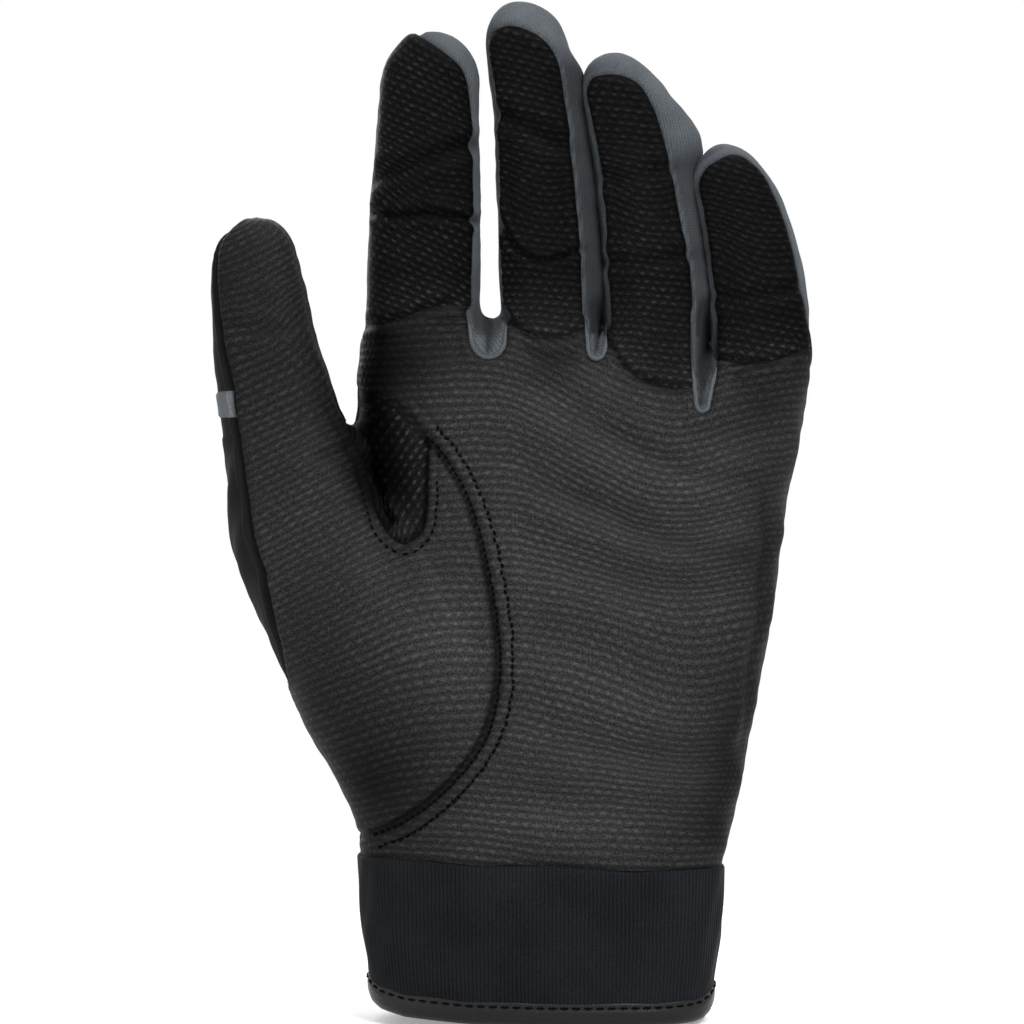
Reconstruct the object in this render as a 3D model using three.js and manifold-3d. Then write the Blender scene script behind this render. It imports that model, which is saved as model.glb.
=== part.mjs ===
// A left-hand batting glove, worn-shaped and hollow, as separate sewn panels.
// Millimetres. X runs from the thumb to the little finger, the palm faces -Y, and Z runs from the hem to
// the fingertips. The origin is the middle of the wrist opening, in the plane of the hem.
import * as THREE from "three";
import { mergeVertices } from "three/addons/utils/BufferGeometryUtils.js";
import Module from "manifold-3d";

const wasm = await Module();
wasm.setup();

// Driving dimensions of the shell and its seams
const wall = 1.4;
const seamGap = 0.35;
const handPower = 2.6;
const digitPower = 2.3;
const digitSides = 16;
const thumbSides = 20;
const handSides = 28;
const ringStep = 8;
const smallest = 0.03;
const tipRings = 4;

// Driving dimensions of the wrist
const cuffHalfWidth = 41.8;
const cuffHalfDepth = 20;
const cuffHeight = 36;
const cuffFlare = 0.8;
const cuffThickness = 2.6;
const slitAngle = 90;
const slitHalfAngle = 6;
const ovalStep = 6;

// Driving dimensions of the hem binding
const bindingThickness = 0.7;
const bindingHeight = 6;

// Driving dimensions of the closure
const patchThickness = 0.9;
const patchHeight = 21;
const loopPatchAngles = [28, 78];
const hookPatchAngles = [46, 70];
const strapThickness = 1.8;
const strapHeight = 28;
const strapClearance = 1;
const strapAngles = [36, 112];
const strapRootAngles = [113, 132];
const strapRampAngles = [84, 108];
const strapTabAngle = 9;
const strapTabThickness = 0.8;
const closureGussetAngles = [76, 104];
const closureGussetThickness = 0.8;

// Driving dimensions of the hand, from the wrist to the knuckles: height, thumb-side edge, little-finger
// edge, palm depth and back depth
const hand = {
  wrist: [cuffHeight + seamGap, -cuffHalfWidth, cuffHalfWidth, cuffHalfDepth, cuffHalfDepth],
  heel: [50, -42, 45, 20, 18.5],
  low: [71, -43, 49, 19, 17.5],
  lowMiddle: [92, -43, 53, 18, 17],
  middle: [113, -43, 55.5, 17, 16],
  high: [134, -43, 58.4, 15.5, 15],
  knuckles: [147, -42.5, 59.8, 13.8, 13.8],
  shoulder: [155, -41.5, 60, 12, 12],
  brow: [160.5, -39.5, 58, 9.5, 9.5],
  crown: [164, -34, 53, 4, 4],
};
const knuckleSlope = 0.16;
const knuckleSlopeStart = 120;

// The little-finger side of the hand cups towards the palm
const cupDepth = 3;
const cupAcross = [10, 60];
const cupAlong = [60, 150];

// Driving dimensions of each digit, as sections from inside the hand to the tip. Each holds a height, the
// place of its middle along X and along Y, its width and its depth. A digit folds at its base and its bend.
const digits = {
  index: {
    root: [110, -22, 0, 12, 14],
    palm: [140, -27, 0, 25, 21],
    base: [165, -27.2, -1, 26.4, 22],
    bend: [188, -26.7, -3, 26, 20.5],
    crown: [212, -25.8, -5.5, 23.2, 18],
    tip: [228.6, -25, -8, 22.4, 16],
  },
  middle: {
    root: [110, 3, 0, 12, 14],
    palm: [140, 2.2, 0, 23, 22],
    base: [165, 2, -1, 23.4, 22],
    bend: [190, 0.6, -3, 22.4, 20.5],
    crown: [215, -1.6, -5.5, 20.4, 18],
    tip: [235.2, -5, -8.5, 20, 16],
  },
  ring: {
    root: [108, 24, 0, 12, 14],
    palm: [138, 26.8, -1.5, 23, 22],
    base: [163, 26.7, -3, 23.4, 22],
    bend: [187, 24.9, -5, 22.6, 20.5],
    crown: [207, 22.2, -7.5, 22.8, 18],
    tip: [223.8, 17.2, -10.5, 21, 16],
  },
  pinky: {
    root: [100, 40, 0, 12, 12],
    palm: [132, 48.4, -2.5, 20.4, 17.5],
    base: [154.5, 51.4, -5, 22, 20],
    bend: [172, 50.5, -6.5, 21.2, 18.5],
    crown: [189, 46.8, -8.5, 18.2, 16.5],
    tip: [202.8, 43.2, -10.5, 16, 15],
  },
};

const thumb = {
  root: [38, -24, 0, 34, 30],
  heel: [50, -22.5, -3, 43, 34],
  lowBall: [65, -28.5, -4, 48, 38],
  ball: [80, -35.2, -5, 48, 40],
  highBall: [95, -43, -6, 46, 40],
  neck: [110, -50.5, -7, 42, 37],
  crotch: [125, -55.8, -8, 33, 31],
  base: [140, -60.2, -9, 27.6, 24],
  bend: [158, -63.8, -11, 23.4, 21],
  crown: [174, -66, -13, 20, 18.5],
  tip: [185.4, -65.2, -15, 18, 17],
};

// How long the round end of a digit is, as a share of its width at the tip
const tipRoundness = 0.6;

// Seam lines as the palm is seen: pairs of X and Z
const thenarSeam = [
  [-50, 149], [-41.5, 146], [-32.5, 140.5], [-25.5, 134], [-17.4, 122.4], [-11.6, 106.2],
  [-9.3, 88], [-10, 74], [-14, 63], [-23.2, 53], [-32.5, 46.5], [-40, 43.3], [-52, 41.5],
];
const crotchSeam = [
  [-49, 144], [-44.8, 136], [-40.6, 124.5], [-36, 114.5], [-31.8, 110.6], [-27.6, 113.5],
  [-25.6, 122.4], [-25.1, 133.6],
];
const thumbSideSeam = [
  [-80, 176], [-73.4, 172], [-71.6, 158], [-69.4, 141], [-66.5, 123.3], [-62.4, 104],
  [-58.6, 86.5], [-57, 79], [-64, 76],
];

// Seam lines on the back of the hand
const knuckleSeam = [[-60, 143], [-40, 143], [-14, 139], [12, 137.5], [38, 132], [56, 126], [80, 120]];
const thumbBackSeam = [[-45, 152], [-43, 136], [-38, 118], [-33, 96], [-32, 70], [-36, 50], [-37, 30]];

// Parting between the front and back panels: Y at the thumb, and across the hand
const thumbParting = -8;
const handParting = 3;
const partingStep = { thumbSide: -52, handSide: -40 };

// Webs between the fingers: how far each laps on to its two fingers, and the height of its foot
const webLap = 3.2;
const webs = {
  web_index_middle: { between: ["index", "middle"], foot: 152.5 },
  web_middle_ring: { between: ["middle", "ring"], foot: 151.5 },
  web_ring_pinky: { between: ["ring", "pinky"], foot: 142.5 },
};

// Leather on the front of each finger: share of the half width that it covers on each side (a share over 1
// wraps the edge), and how far its rounded top stays below the fingertip
const leather = {
  index: { thumbSide: 1.4, outerSide: 0.8, belowTip: 3 },
  middle: { thumbSide: 0.86, outerSide: 0.66, belowTip: 4.5 },
  ring: { thumbSide: 0.84, outerSide: 0.62, belowTip: 5 },
  pinky: { thumbSide: 0.84, outerSide: 1.4, belowTip: 3.5 },
};
const backParting = 0.3;

// The rounded top of that leather: how far below the fingertip's shoulder its curve starts, how far a wrapped
// edge runs past the finger, and how far below the top it leaves on the thumb's side and on the other
const leatherArchStart = 8;
const leatherPast = 4;
const leatherDrop = { thumbSide: 1, outerSide: 6 };

// The grey elastic band at the foot of the thumb's side strip
const thumbBandWidth = 6;

// Colours and finishes
const finish = (color, roughness) => new THREE.MeshStandardMaterial({ color, roughness, metalness: 0 });
const blackLeather = finish(0x242425, 0.55);
const blackStretch = finish(0x1d1d1f, 0.8);
const greyStretch = finish(0x5b6568, 0.85);
const neoprene = finish(0x1b1b20, 0.9);
const bindingFinish = finish(0x1a1a1c, 0.45);
const hookAndLoop = finish(0x161618, 0.95);

// A closed skin over rings of equally many points: capped at both ends, or joined in a loop
function loft(rings, loop = false) {
  const count = rings[0].length;
  const positions = rings.flat().flatMap((p) => [p.x, p.y, p.z]);
  const faces = [];
  const last = loop ? rings.length : rings.length - 1;
  for (let i = 0; i < last; i++) {
    const a = i * count;
    const b = ((i + 1) % rings.length) * count;
    for (let k = 0; k < count; k++) {
      const n = (k + 1) % count;
      faces.push(a + k, a + n, b + n, a + k, b + n, b + k);
    }
  }
  if (!loop) {
    [0, rings.length - 1].forEach((at) => {
      const ring = rings[at];
      const u = ring[1].clone().sub(ring[0]).normalize();
      const normal = ring.reduce((sum, p, k) => {
        return sum.add(p.clone().sub(ring[0]).cross(ring[(k + 1) % count].clone().sub(ring[0])));
      }, new THREE.Vector3()).normalize();
      const v = normal.clone().cross(u);
      const flat = ring.map((p) => new THREE.Vector2(p.dot(u), p.dot(v)));
      for (const [i, j, k] of THREE.ShapeUtils.triangulateShape(flat, [])) {
        const order = at === 0 ? [k, j, i] : [i, j, k];
        faces.push(...order.map((n) => at * count + n));
      }
    });
  }
  const geometry = new THREE.BufferGeometry();
  geometry.setAttribute("position", new THREE.Float32BufferAttribute(positions, 3));
  geometry.setIndex(faces);
  return geometry;
}

// A geometry as a solid that can be joined and cut, with its faces turned outwards
function solid(geometry) {
  const bare = geometry.clone();
  bare.deleteAttribute("normal");
  bare.deleteAttribute("uv");
  const merged = mergeVertices(bare, 1e-4);
  const make = (triVerts) =>
    new wasm.Manifold(
      new wasm.Mesh({ numProp: 3, vertProperties: merged.attributes.position.array, triVerts }),
    );
  const triVerts = new Uint32Array(merged.index.array);
  const made = make(triVerts);
  return made.volume() > 0 ? made : make(triVerts.map((v, i) => triVerts[i - (i % 3) + 2 - (i % 3)]));
}

// A solid as a geometry that a mesh can show
function geometryOf(manifold) {
  const { numProp, numVert, vertProperties, triVerts } = manifold.getMesh();
  const positions = new Float32Array(numVert * 3);
  for (let i = 0; i < numVert; i++) {
    positions.set(vertProperties.subarray(i * numProp, i * numProp + 3), i * 3);
  }
  const geometry = new THREE.BufferGeometry();
  geometry.setAttribute("position", new THREE.BufferAttribute(positions, 3));
  geometry.setIndex(new THREE.BufferAttribute(triVerts, 1));
  geometry.computeVertexNormals();
  return geometry;
}

const union = (solids) => solids.reduce((joined, next) => joined.add(next));

// A point on a rounded oval: turn 0 is +X, a quarter turn is the back (+Y) and three quarters the palm
function ovalPoint(turn, halfWidth, palmDepth, backDepth, power) {
  const bulge = (v) => Math.sign(v) * Math.abs(v) ** (2 / power);
  const depth = Math.sin(turn) < 0 ? palmDepth : backDepth;
  return [halfWidth * bulge(Math.cos(turn)), depth * bulge(Math.sin(turn))];
}

function ovalRing(sides, place) {
  return Array.from({ length: sides }, (_, k) => place((k / sides) * 2 * Math.PI));
}

const tipLengthOf = (digit) => tipRoundness * digit.tip[3];

// A digit's section at a height, from a smooth curve through its stations: its middle, half width and half
// depth
function sectionAt(digit, z) {
  const tipLength = tipLengthOf(digit);
  const stations = Object.values(digit);
  const tip = digit.tip[0];
  let i = stations.findIndex((s) => s[0] > z) - 1;
  if (i < 0) i = z < stations[0][0] ? 0 : stations.length - 2;
  const [a, b] = [stations[i], stations[i + 1]];
  const before = stations[Math.max(i - 1, 0)];
  const after = stations[Math.min(i + 2, stations.length - 1)];
  const t = (z - a[0]) / (b[0] - a[0]);
  const value = (k) => {
    const slope = (p, q) => ((q[k] - p[k]) / (q[0] - p[0])) * (b[0] - a[0]);
    const [m0, m1] = [slope(before, b), slope(a, after)];
    const tt = t * t;
    const ttt = tt * t;
    return (
      (2 * ttt - 3 * tt + 1) * a[k] + (ttt - 2 * tt + t) * m0 + (3 * tt - 2 * ttt) * b[k] + (ttt - tt) * m1
    );
  };
  const intoTip = Math.min(Math.max((z - (tip - tipLength)) / tipLength, 0), 1);
  const dome = Math.sqrt(1 - intoTip ** 2.4);
  return { x: value(1), y: value(2), halfWidth: (value(3) / 2) * dome, halfDepth: (value(4) / 2) * dome };
}

// A digit as a closed tube between two heights, drawn in by inset on all sides
function digitTube(digit, sides, from, to, inset) {
  const tipLength = tipLengthOf(digit);
  const top = digit.tip[0];
  const end = Math.min(to, top - inset);
  const heights = [];
  const straightEnd = Math.min(end, top - tipLength);
  const steps = Math.max(1, Math.round((straightEnd - from) / ringStep));
  for (let i = 0; i <= steps; i++) heights.push(from + ((straightEnd - from) * i) / steps);
  if (end > straightEnd) {
    for (let i = 1; i <= tipRings; i++) {
      const turn = (i / tipRings) * (Math.PI / 2);
      const share = i === tipRings ? 0.995 : Math.sin(turn);
      heights.push(straightEnd + (end - straightEnd) * share);
    }
  }
  const rings = heights.map((z) => {
    const outer = z > straightEnd ? straightEnd + ((z - straightEnd) * tipLength) / (end - straightEnd) : z;
    const s = sectionAt(digit, end < top - inset ? z : outer);
    const least = 0.6;
    const a = Math.max(s.halfWidth - inset, least);
    const b = Math.max(s.halfDepth - inset, least);
    return ovalRing(sides, (turn) => {
      const [x, y] = ovalPoint(turn, a, b, b, digitPower);
      return new THREE.Vector3(s.x + x, s.y + y, z);
    });
  });
  return solid(loft(rings));
}

// The hand without its digits, with the knuckle end sloping down towards the little finger
function handTube(inset, bottom) {
  const rows = Object.values(hand);
  const top = hand.crown[0];
  const indexSide = digits.index.root[1];
  const rings = rows.map(([z, left, right, palm, back], i) => {
    const rise = Math.max(0, (z - knuckleSlopeStart) / (top - knuckleSlopeStart));
    const height = i === 0 ? bottom : i === rows.length - 1 ? z - inset : z;
    const cupHere = cupDepth * THREE.MathUtils.smoothstep(z, ...cupAlong);
    const halfWidth = (right - left) / 2 - inset;
    return ovalRing(handSides, (turn) => {
      const [x, y] = ovalPoint(turn, halfWidth, palm - inset, back - inset, handPower);
      const across = (left + right) / 2 + x;
      const cup = cupHere * THREE.MathUtils.smoothstep(across, ...cupAcross);
      return new THREE.Vector3(across, y - cup, height - knuckleSlope * rise * (across - indexSide));
    });
  });
  return solid(loft(rings));
}

// A thin upright cut that follows a line of X and Z pairs, from one Y to another
function seamCut(line, fromY, toY, width = seamGap, samples = 3) {
  const curve = new THREE.SplineCurve(line.map(([x, z]) => new THREE.Vector2(x, z)));
  const points = curve.getPoints(samples * (line.length - 1));
  const edge = (side) =>
    points.map((p, i) => {
      const along = points[Math.min(i + 1, points.length - 1)].clone().sub(points[Math.max(i - 1, 0)]);
      const across = new THREE.Vector2(-along.y, along.x).setLength((side * width) / 2);
      return p.clone().add(across);
    });
  const shape = new THREE.Shape([...edge(1), ...edge(-1).reverse()]);
  const geometry = new THREE.ExtrudeGeometry(shape, { depth: toY - fromY, bevelEnabled: false });
  geometry.rotateX(Math.PI / 2).translate(0, toY, 0);
  return solid(geometry);
}

// A block between two corners
function block(low, high) {
  const size = high.map((v, i) => v - low[i]);
  const middle = high.map((v, i) => (v + low[i]) / 2);
  return solid(new THREE.BoxGeometry(...size).translate(...middle));
}

// A thin sheet across a digit, at a share of its half depth behind its middle, between two heights
function backSheet(digit, from, to, share, reach) {
  const crownEnd = digit.tip[0] - tipLengthOf(digit);
  const steps = Math.ceil((to - from) / ringStep);
  const rings = Array.from({ length: steps + 1 }, (_, i) => {
    const z = from + ((to - from) * i) / steps;
    const body = sectionAt(digit, Math.min(z, crownEnd));
    const s = sectionAt(digit, z);
    const y = s.y + share * body.halfDepth;
    return [
      [-reach, -seamGap / 2], [reach, -seamGap / 2], [reach, seamGap / 2], [-reach, seamGap / 2],
    ].map(([dx, dy]) => new THREE.Vector3(s.x + dx, y + dy, z));
  });
  return solid(loft(rings));
}

// The two thin level cuts at a digit's fold lines
function foldCuts(digit) {
  return [digit.base[0], digit.bend[0]].map((z) => {
    const s = sectionAt(digit, z);
    const [reachX, reachY] = [s.halfWidth + wall, s.halfDepth + wall];
    return block([s.x - reachX, s.y - reachY, z], [s.x + reachX, s.y + reachY, z + seamGap]);
  });
}

// The edge of a finger's leather, up one side, over the top and down the other
function leatherEdge(name) {
  const digit = digits[name];
  const { thumbSide, outerSide, belowTip } = leather[name];
  const tip = digit.tip[0];
  const shoulder = tip - tipLengthOf(digit);
  const side = (share, z) => {
    const s = sectionAt(digit, z);
    return [s.x + share * s.halfWidth, z];
  };
  const [base, bend] = [digit.base[0], digit.bend[0]];
  const sideHeights = [base - wall, (base + bend) / 2, bend, shoulder - leatherArchStart];
  const up = thumbSide > 1 ? [] : sideHeights.map((z) => side(-thumbSide, z));
  const down = outerSide > 1 ? [] : sideHeights.toReversed().map((z) => side(outerSide, z));
  const crown = sectionAt(digit, shoulder);
  const top = tip - belowTip;
  const archHeight = top - (shoulder - leatherArchStart);
  const arch = [0.75, 0.5, 0.25].map((part) => {
    const turn = part * Math.PI;
    const reach = Math.cos(turn) < 0 ? Math.min(thumbSide, 1) : Math.min(outerSide, 1);
    const lean = (sectionAt(digit, tip - 0.1).x - crown.x) * Math.sin(turn);
    const across = crown.x + lean + reach * crown.halfWidth * Math.cos(turn);
    return [across, top - archHeight * (1 - Math.sin(turn))];
  });
  const wrap = crown.halfWidth + leatherPast;
  const start = thumbSide > 1 ? [[crown.x - wrap, top - leatherDrop.thumbSide]] : [];
  const end = outerSide > 1 ? [[crown.x + wrap, top - leatherDrop.outerSide]] : [];
  return [...up, ...start, ...arch.slice(thumbSide > 1 ? 1 : 0, outerSide > 1 ? 2 : 3), ...end, ...down];
}

// The whole glove as one hollow shell
const shellTop = (digit) => digit.tip[0] + 1;
const shellBottom = hand.wrist[0];
const solidHand = (inset, bottom) =>
  union([
    handTube(inset, bottom),
    digitTube(thumb, thumbSides, thumb.root[0], shellTop(thumb), inset),
    ...Object.values(digits).map((d) =>
      digitTube(d, digitSides, d.root[0] + inset, shellTop(d), inset),
    ),
  ]);
const shell = solidHand(0, shellBottom).subtract(solidHand(wall, shellBottom - wall));

// Picks, from a list of pieces, the one that holds a point of the wall
function holding(pieces, point) {
  const probe = block(point.map((v) => v - wall), point.map((v) => v + wall));
  const shares = pieces.map((piece) => piece.intersect(probe).volume());
  const best = shares.indexOf(Math.max(...shares));
  if (!(shares[best] > 0)) throw new Error("no piece at " + point.map((v) => v.toFixed(1)));
  return pieces[best];
}

// Cuts a piece and names what comes apart, each by a point of its wall
function cutApart(piece, cuts, points) {
  const pieces = cuts.reduce((rest, cut) => rest.subtract(cut), piece).decompose();
  return points.map((point) => holding(pieces, point));
}

// A point in a digit's wall at a height: turn 0 is +X, a quarter turn the back, three quarters the palm
function wallPoint(digit, z, turn) {
  const s = sectionAt(digit, z);
  const [a, b] = [s.halfWidth - wall / 2, s.halfDepth - wall / 2];
  const [x, y] = ovalPoint(turn, a, b, b, digitPower);
  return [s.x + x, s.y + y, z];
}
const outward = { outer: 0, back: Math.PI / 2, thumb: Math.PI, palm: 1.5 * Math.PI };

// The fold lines part every digit from the hand and its upper half from its lower half
const allDigits = Object.entries({ ...digits, thumb }).map(([name, digit]) => {
  const tip = digit.tip[0];
  const halves = {
    lower: { from: digit.base[0], to: digit.bend[0], middle: (digit.base[0] + digit.bend[0]) / 2 },
    upper: { from: digit.bend[0], to: tip, middle: (digit.bend[0] + tip - tipLengthOf(digit)) / 2 },
  };
  return { name, digit, tip, halves };
});
const [middleHeight, , , middlePalm, middleBack] = hand.middle;
const palmPoint = [0, wall / 2 - middlePalm, middleHeight];
const segments = cutApart(
  shell,
  allDigits.flatMap(({ digit }) => foldCuts(digit)),
  [
    palmPoint,
    ...allDigits.flatMap(({ digit, halves }) =>
      Object.values(halves).map(({ middle }) => wallPoint(digit, middle, outward.back)),
    ),
  ],
);
const handShell = segments.shift();

// Each panel, by name
const panels = new Map();
const far = 2 * digits.middle.tip[0];
const farY = digits.middle.tip[0] / 3;

// Webs are lifted out of the hand, with a seam around each
const webPrism = ({ between, foot }, spare) => {
  const [left, right] = between.map((name) => digits[name].base);
  const [from, to] = [left[1] + left[3] / 2 - webLap, right[1] - right[3] / 2 + webLap];
  const x = (from + to) / 2;
  const width = to - from;
  const half = width / 2 + spare;
  const topZ = Math.max(...Object.values(digits).map((d) => d.base[0])) + wall;
  const line = new THREE.Shape();
  line.moveTo(x - half, topZ);
  line.lineTo(x - half, foot + width / 2);
  line.absarc(x, foot + width / 2, half, Math.PI, 2 * Math.PI, false);
  line.lineTo(x + half, topZ);
  const through = { depth: 2 * farY, bevelEnabled: false, curveSegments: 6 };
  const geometry = new THREE.ExtrudeGeometry(line, through);
  return solid(geometry.rotateX(Math.PI / 2).translate(0, farY, 0));
};
let handWithoutWebs = handShell;
for (const [name, web] of Object.entries(webs)) {
  panels.set(name, [handShell.intersect(webPrism(web, 0)), greyStretch]);
  handWithoutWebs = handWithoutWebs.subtract(webPrism(web, seamGap));
}

// The hand's front and back panels
const partingLine = new THREE.Shape([
  [-far, thumbParting],
  [partingStep.thumbSide, thumbParting],
  [partingStep.handSide, handParting],
  [far, handParting],
  [far, handParting + seamGap],
  [partingStep.handSide, handParting + seamGap],
  [partingStep.thumbSide, thumbParting + seamGap],
  [-far, thumbParting + seamGap],
].map(([x, y]) => new THREE.Vector2(x, y)));
const partingSheet = solid(new THREE.ExtrudeGeometry(partingLine, { depth: far, bevelEnabled: false }));
const backPoint = [0, middleBack - wall / 2, middleHeight];
const [handFront, handBack] = cutApart(handWithoutWebs, [partingSheet], [palmPoint, backPoint]);
const thenarPoint = (z) => wallPoint(thumb, z, outward.palm);
const [, handEdge, , handPalm] = hand.high;
const crotchTop = crotchSeam[1][1];
const neckHeight = thumb.neck[0];
const [palm, thenar, crotch, thumbSide] = cutApart(
  handFront,
  [thenarSeam, crotchSeam, thumbSideSeam].map((line) => seamCut(line, -farY, farY)),
  [
    palmPoint,
    thenarPoint(thumb.highBall[0]),
    [handEdge + 2 * wall, -handPalm / 2, crotchTop - wall],
    [wallPoint(thumb, neckHeight, outward.thumb)[0], thumbParting - wall, neckHeight],
  ],
);
panels.set("palm_panel", [palm, blackLeather]);
panels.set("thenar_panel", [thenar, blackLeather]);
panels.set("thumb_crotch_gusset", [crotch, blackLeather]);
panels.set("thumb_side_panel", [thumbSide, blackStretch]);
const [knuckleHeight, , , , knuckleBack] = hand.knuckles;
const [backPanel, knucklePanel, thumbBackPanel] = cutApart(
  handBack,
  [knuckleSeam, thumbBackSeam].map((line) => seamCut(line, -farY, farY)),
  [
    backPoint,
    [digits.middle.base[1], knuckleBack - wall, knuckleHeight],
    wallPoint(thumb, thumb.neck[0], outward.back),
  ],
);
panels.set("back_panel", [backPanel, blackStretch]);
panels.set("knuckle_panel", [knucklePanel, greyStretch]);
panels.set("thumb_back_panel", [thumbBackPanel, blackStretch]);

// Fingers: front leather, side strips and back
allDigits.forEach(({ name, digit, tip, halves }, i) => {
  Object.entries(halves).forEach(([half, { from, to, middle }], k) => {
    const segment = segments[2 * i + k];
    const at = (turn) => wallPoint(digit, middle, turn);
    const reach = sectionAt(digit, digit.base[0]).halfWidth + 4;
    const sheet = backSheet(digit, from - wall, Math.min(to + wall, tip + wall), backParting, reach);
    const [front, back] = cutApart(segment, [sheet], [at(outward.palm), at(outward.back)]);
    panels.set(`${name}_back_${half}`, [back, name === "thumb" ? blackStretch : greyStretch]);
    if (name === "thumb") {
      const edge = seamCut(thumbSideSeam, -farY, farY);
      const [pad, side] = cutApart(front, [edge], [at(outward.palm), at(outward.thumb)]);
      panels.set(`thumb_front_${half}`, [pad, blackLeather]);
      panels.set(`thumb_side_${half}`, [side, blackStretch]);
      return;
    }
    const edge = seamCut(leatherEdge(name), -farY, farY);
    const { thumbSide: inner, outerSide: outer } = leather[name];
    const strips = [];
    if (outer <= 1) strips.push(["outer", at(outward.outer)]);
    if (inner <= 1 && (half === "lower" || !strips.length)) strips.push(["inner", at(outward.thumb)]);
    const cut = cutApart(front, [edge], [at(outward.palm), ...strips.map(([, point]) => point)]);
    panels.set(`${name}_front_${half}`, [cut[0], blackLeather]);
    strips.forEach(([side], n) => {
      const label = half === "upper" ? `${name}_tip_strip` : `${name}_${side}_strip`;
      panels.set(label, [cut[n + 1], greyStretch]);
    });
  });
});

// The grey band is the foot of the thumb's side strip
const sideStrip = panels.get("thumb_side_lower")[0];
const bandTop = thumb.base[0] + seamGap + thumbBandWidth;
panels.set("thumb_band", [sideStrip.intersect(block([-far, -far, 0], [far, far, bandTop])), greyStretch]);
panels.set("thumb_side_lower", [
  sideStrip.intersect(block([-far, -far, bandTop + seamGap], [far, far, far])),
  blackStretch,
]);

// Wrist pieces are swept round the cuff's oval. A profile is a loop of offsets from the oval and heights,
// and may change with the angle.
function wristSweep(profileAt, fromAngle, toAngle) {
  const count = Math.max(2, Math.ceil(Math.abs(toAngle - fromAngle) / ovalStep));
  const rings = Array.from({ length: count + 1 }, (_, i) => {
    const degrees = fromAngle + ((toAngle - fromAngle) * i) / count;
    const turn = THREE.MathUtils.degToRad(degrees);
    const place = (t) =>
      new THREE.Vector2(...ovalPoint(t, cuffHalfWidth, cuffHalfDepth, cuffHalfDepth, handPower));
    const along = place(turn + 0.02).sub(place(turn - 0.02)).normalize();
    const out = new THREE.Vector2(along.y, -along.x);
    const foot = place(turn);
    return profileAt(degrees).map(([offset, z]) => {
      const flare = cuffFlare * (z / cuffHeight - 1);
      return new THREE.Vector3(foot.x + out.x * (offset + flare), foot.y + out.y * (offset + flare), z);
    });
  });
  return solid(loft(rings));
}
const bandProfile = (inner, outer, low, high) => [[outer, low], [outer, high], [inner, high], [inner, low]];
const openCuff = [slitAngle + slitHalfAngle, slitAngle + 360 - slitHalfAngle];
const hemLift = bindingThickness + seamGap;

panels.set("cuff_band", [
  wristSweep(() => bandProfile(-cuffThickness, 0, hemLift, cuffHeight), ...openCuff),
  neoprene,
]);
const bindOut = seamGap + bindingThickness;
const bindIn = -cuffThickness - bindOut;
panels.set("hem_binding", [
  wristSweep(
    () => [
      [bindOut, 0], [bindOut, bindingHeight], [seamGap, bindingHeight], [seamGap, bindingThickness],
      [bindIn + bindingThickness, bindingThickness], [bindIn + bindingThickness, bindingHeight],
      [bindIn, bindingHeight], [bindIn, 0],
    ],
    ...openCuff,
  ),
  bindingFinish,
]);
const gussetOut = -cuffThickness - seamGap;
const gussetLow = bindingHeight + strapClearance;
panels.set("closure_gusset", [
  wristSweep(
    () => bandProfile(gussetOut - closureGussetThickness, gussetOut, gussetLow, cuffHeight),
    ...closureGussetAngles,
  ),
  greyStretch,
]);

// The hook-and-loop closure on the back of the cuff
const strapLow = bindingHeight + strapClearance;
const strapHigh = strapLow + strapHeight;
const patchLow = (strapLow + strapHigh - patchHeight) / 2;
const patchHigh = patchLow + patchHeight;
const loopTop = seamGap + patchThickness;
const hookFoot = loopTop + seamGap;
const strapFree = hookFoot + patchThickness + seamGap;
const strapFoot = (degrees) => {
  const share = THREE.MathUtils.smoothstep(degrees, ...strapRampAngles);
  return THREE.MathUtils.lerp(strapFree, seamGap, share);
};
const strapProfile = (d) => bandProfile(strapFoot(d), strapFoot(d) + strapThickness, strapLow, strapHigh);
panels.set("loop_patch", [
  wristSweep(() => bandProfile(seamGap, loopTop, patchLow, patchHigh), ...loopPatchAngles),
  hookAndLoop,
]);
panels.set("hook_patch", [
  wristSweep(
    () => bandProfile(hookFoot, hookFoot + patchThickness, patchLow, patchHigh),
    ...hookPatchAngles,
  ),
  hookAndLoop,
]);
panels.set("strap", [wristSweep(strapProfile, ...strapAngles), neoprene]);
panels.set("strap_root", [
  wristSweep(strapProfile, ...strapRootAngles),
  neoprene,
]);
const tabFoot = strapFree + strapThickness + seamGap;
const tabAngles = [strapAngles[0], strapAngles[0] + strapTabAngle];
panels.set("strap_tab", [
  wristSweep(() => bandProfile(tabFoot, tabFoot + strapTabThickness, strapLow, strapHigh), ...tabAngles),
  bindingFinish,
]);

// The part
const glove = new THREE.Group();
for (const [name, [piece, material]] of panels) {
  const mesh = new THREE.Mesh(geometryOf(piece.simplify(smallest)), material.clone());
  mesh.name = name;
  glove.add(mesh);
}

export default glove;
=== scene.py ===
"""Dresses the batting glove: panels of leather and stretch fabric, seams with thread, cuff and closure.

Shapes are worked out in millimetres in the part's own frame (X from the thumb to the little finger, the
palm faces -Y, Z from the hem to the fingertips) and become metres when a piece is made. The skin is made
once for the whole hand, smoothed and creased, and then parted along its seams into panels.
"""

import math
from functools import reduce

import bpy
import numpy as np
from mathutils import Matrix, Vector
from mathutils.bvhtree import BVHTree


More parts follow.
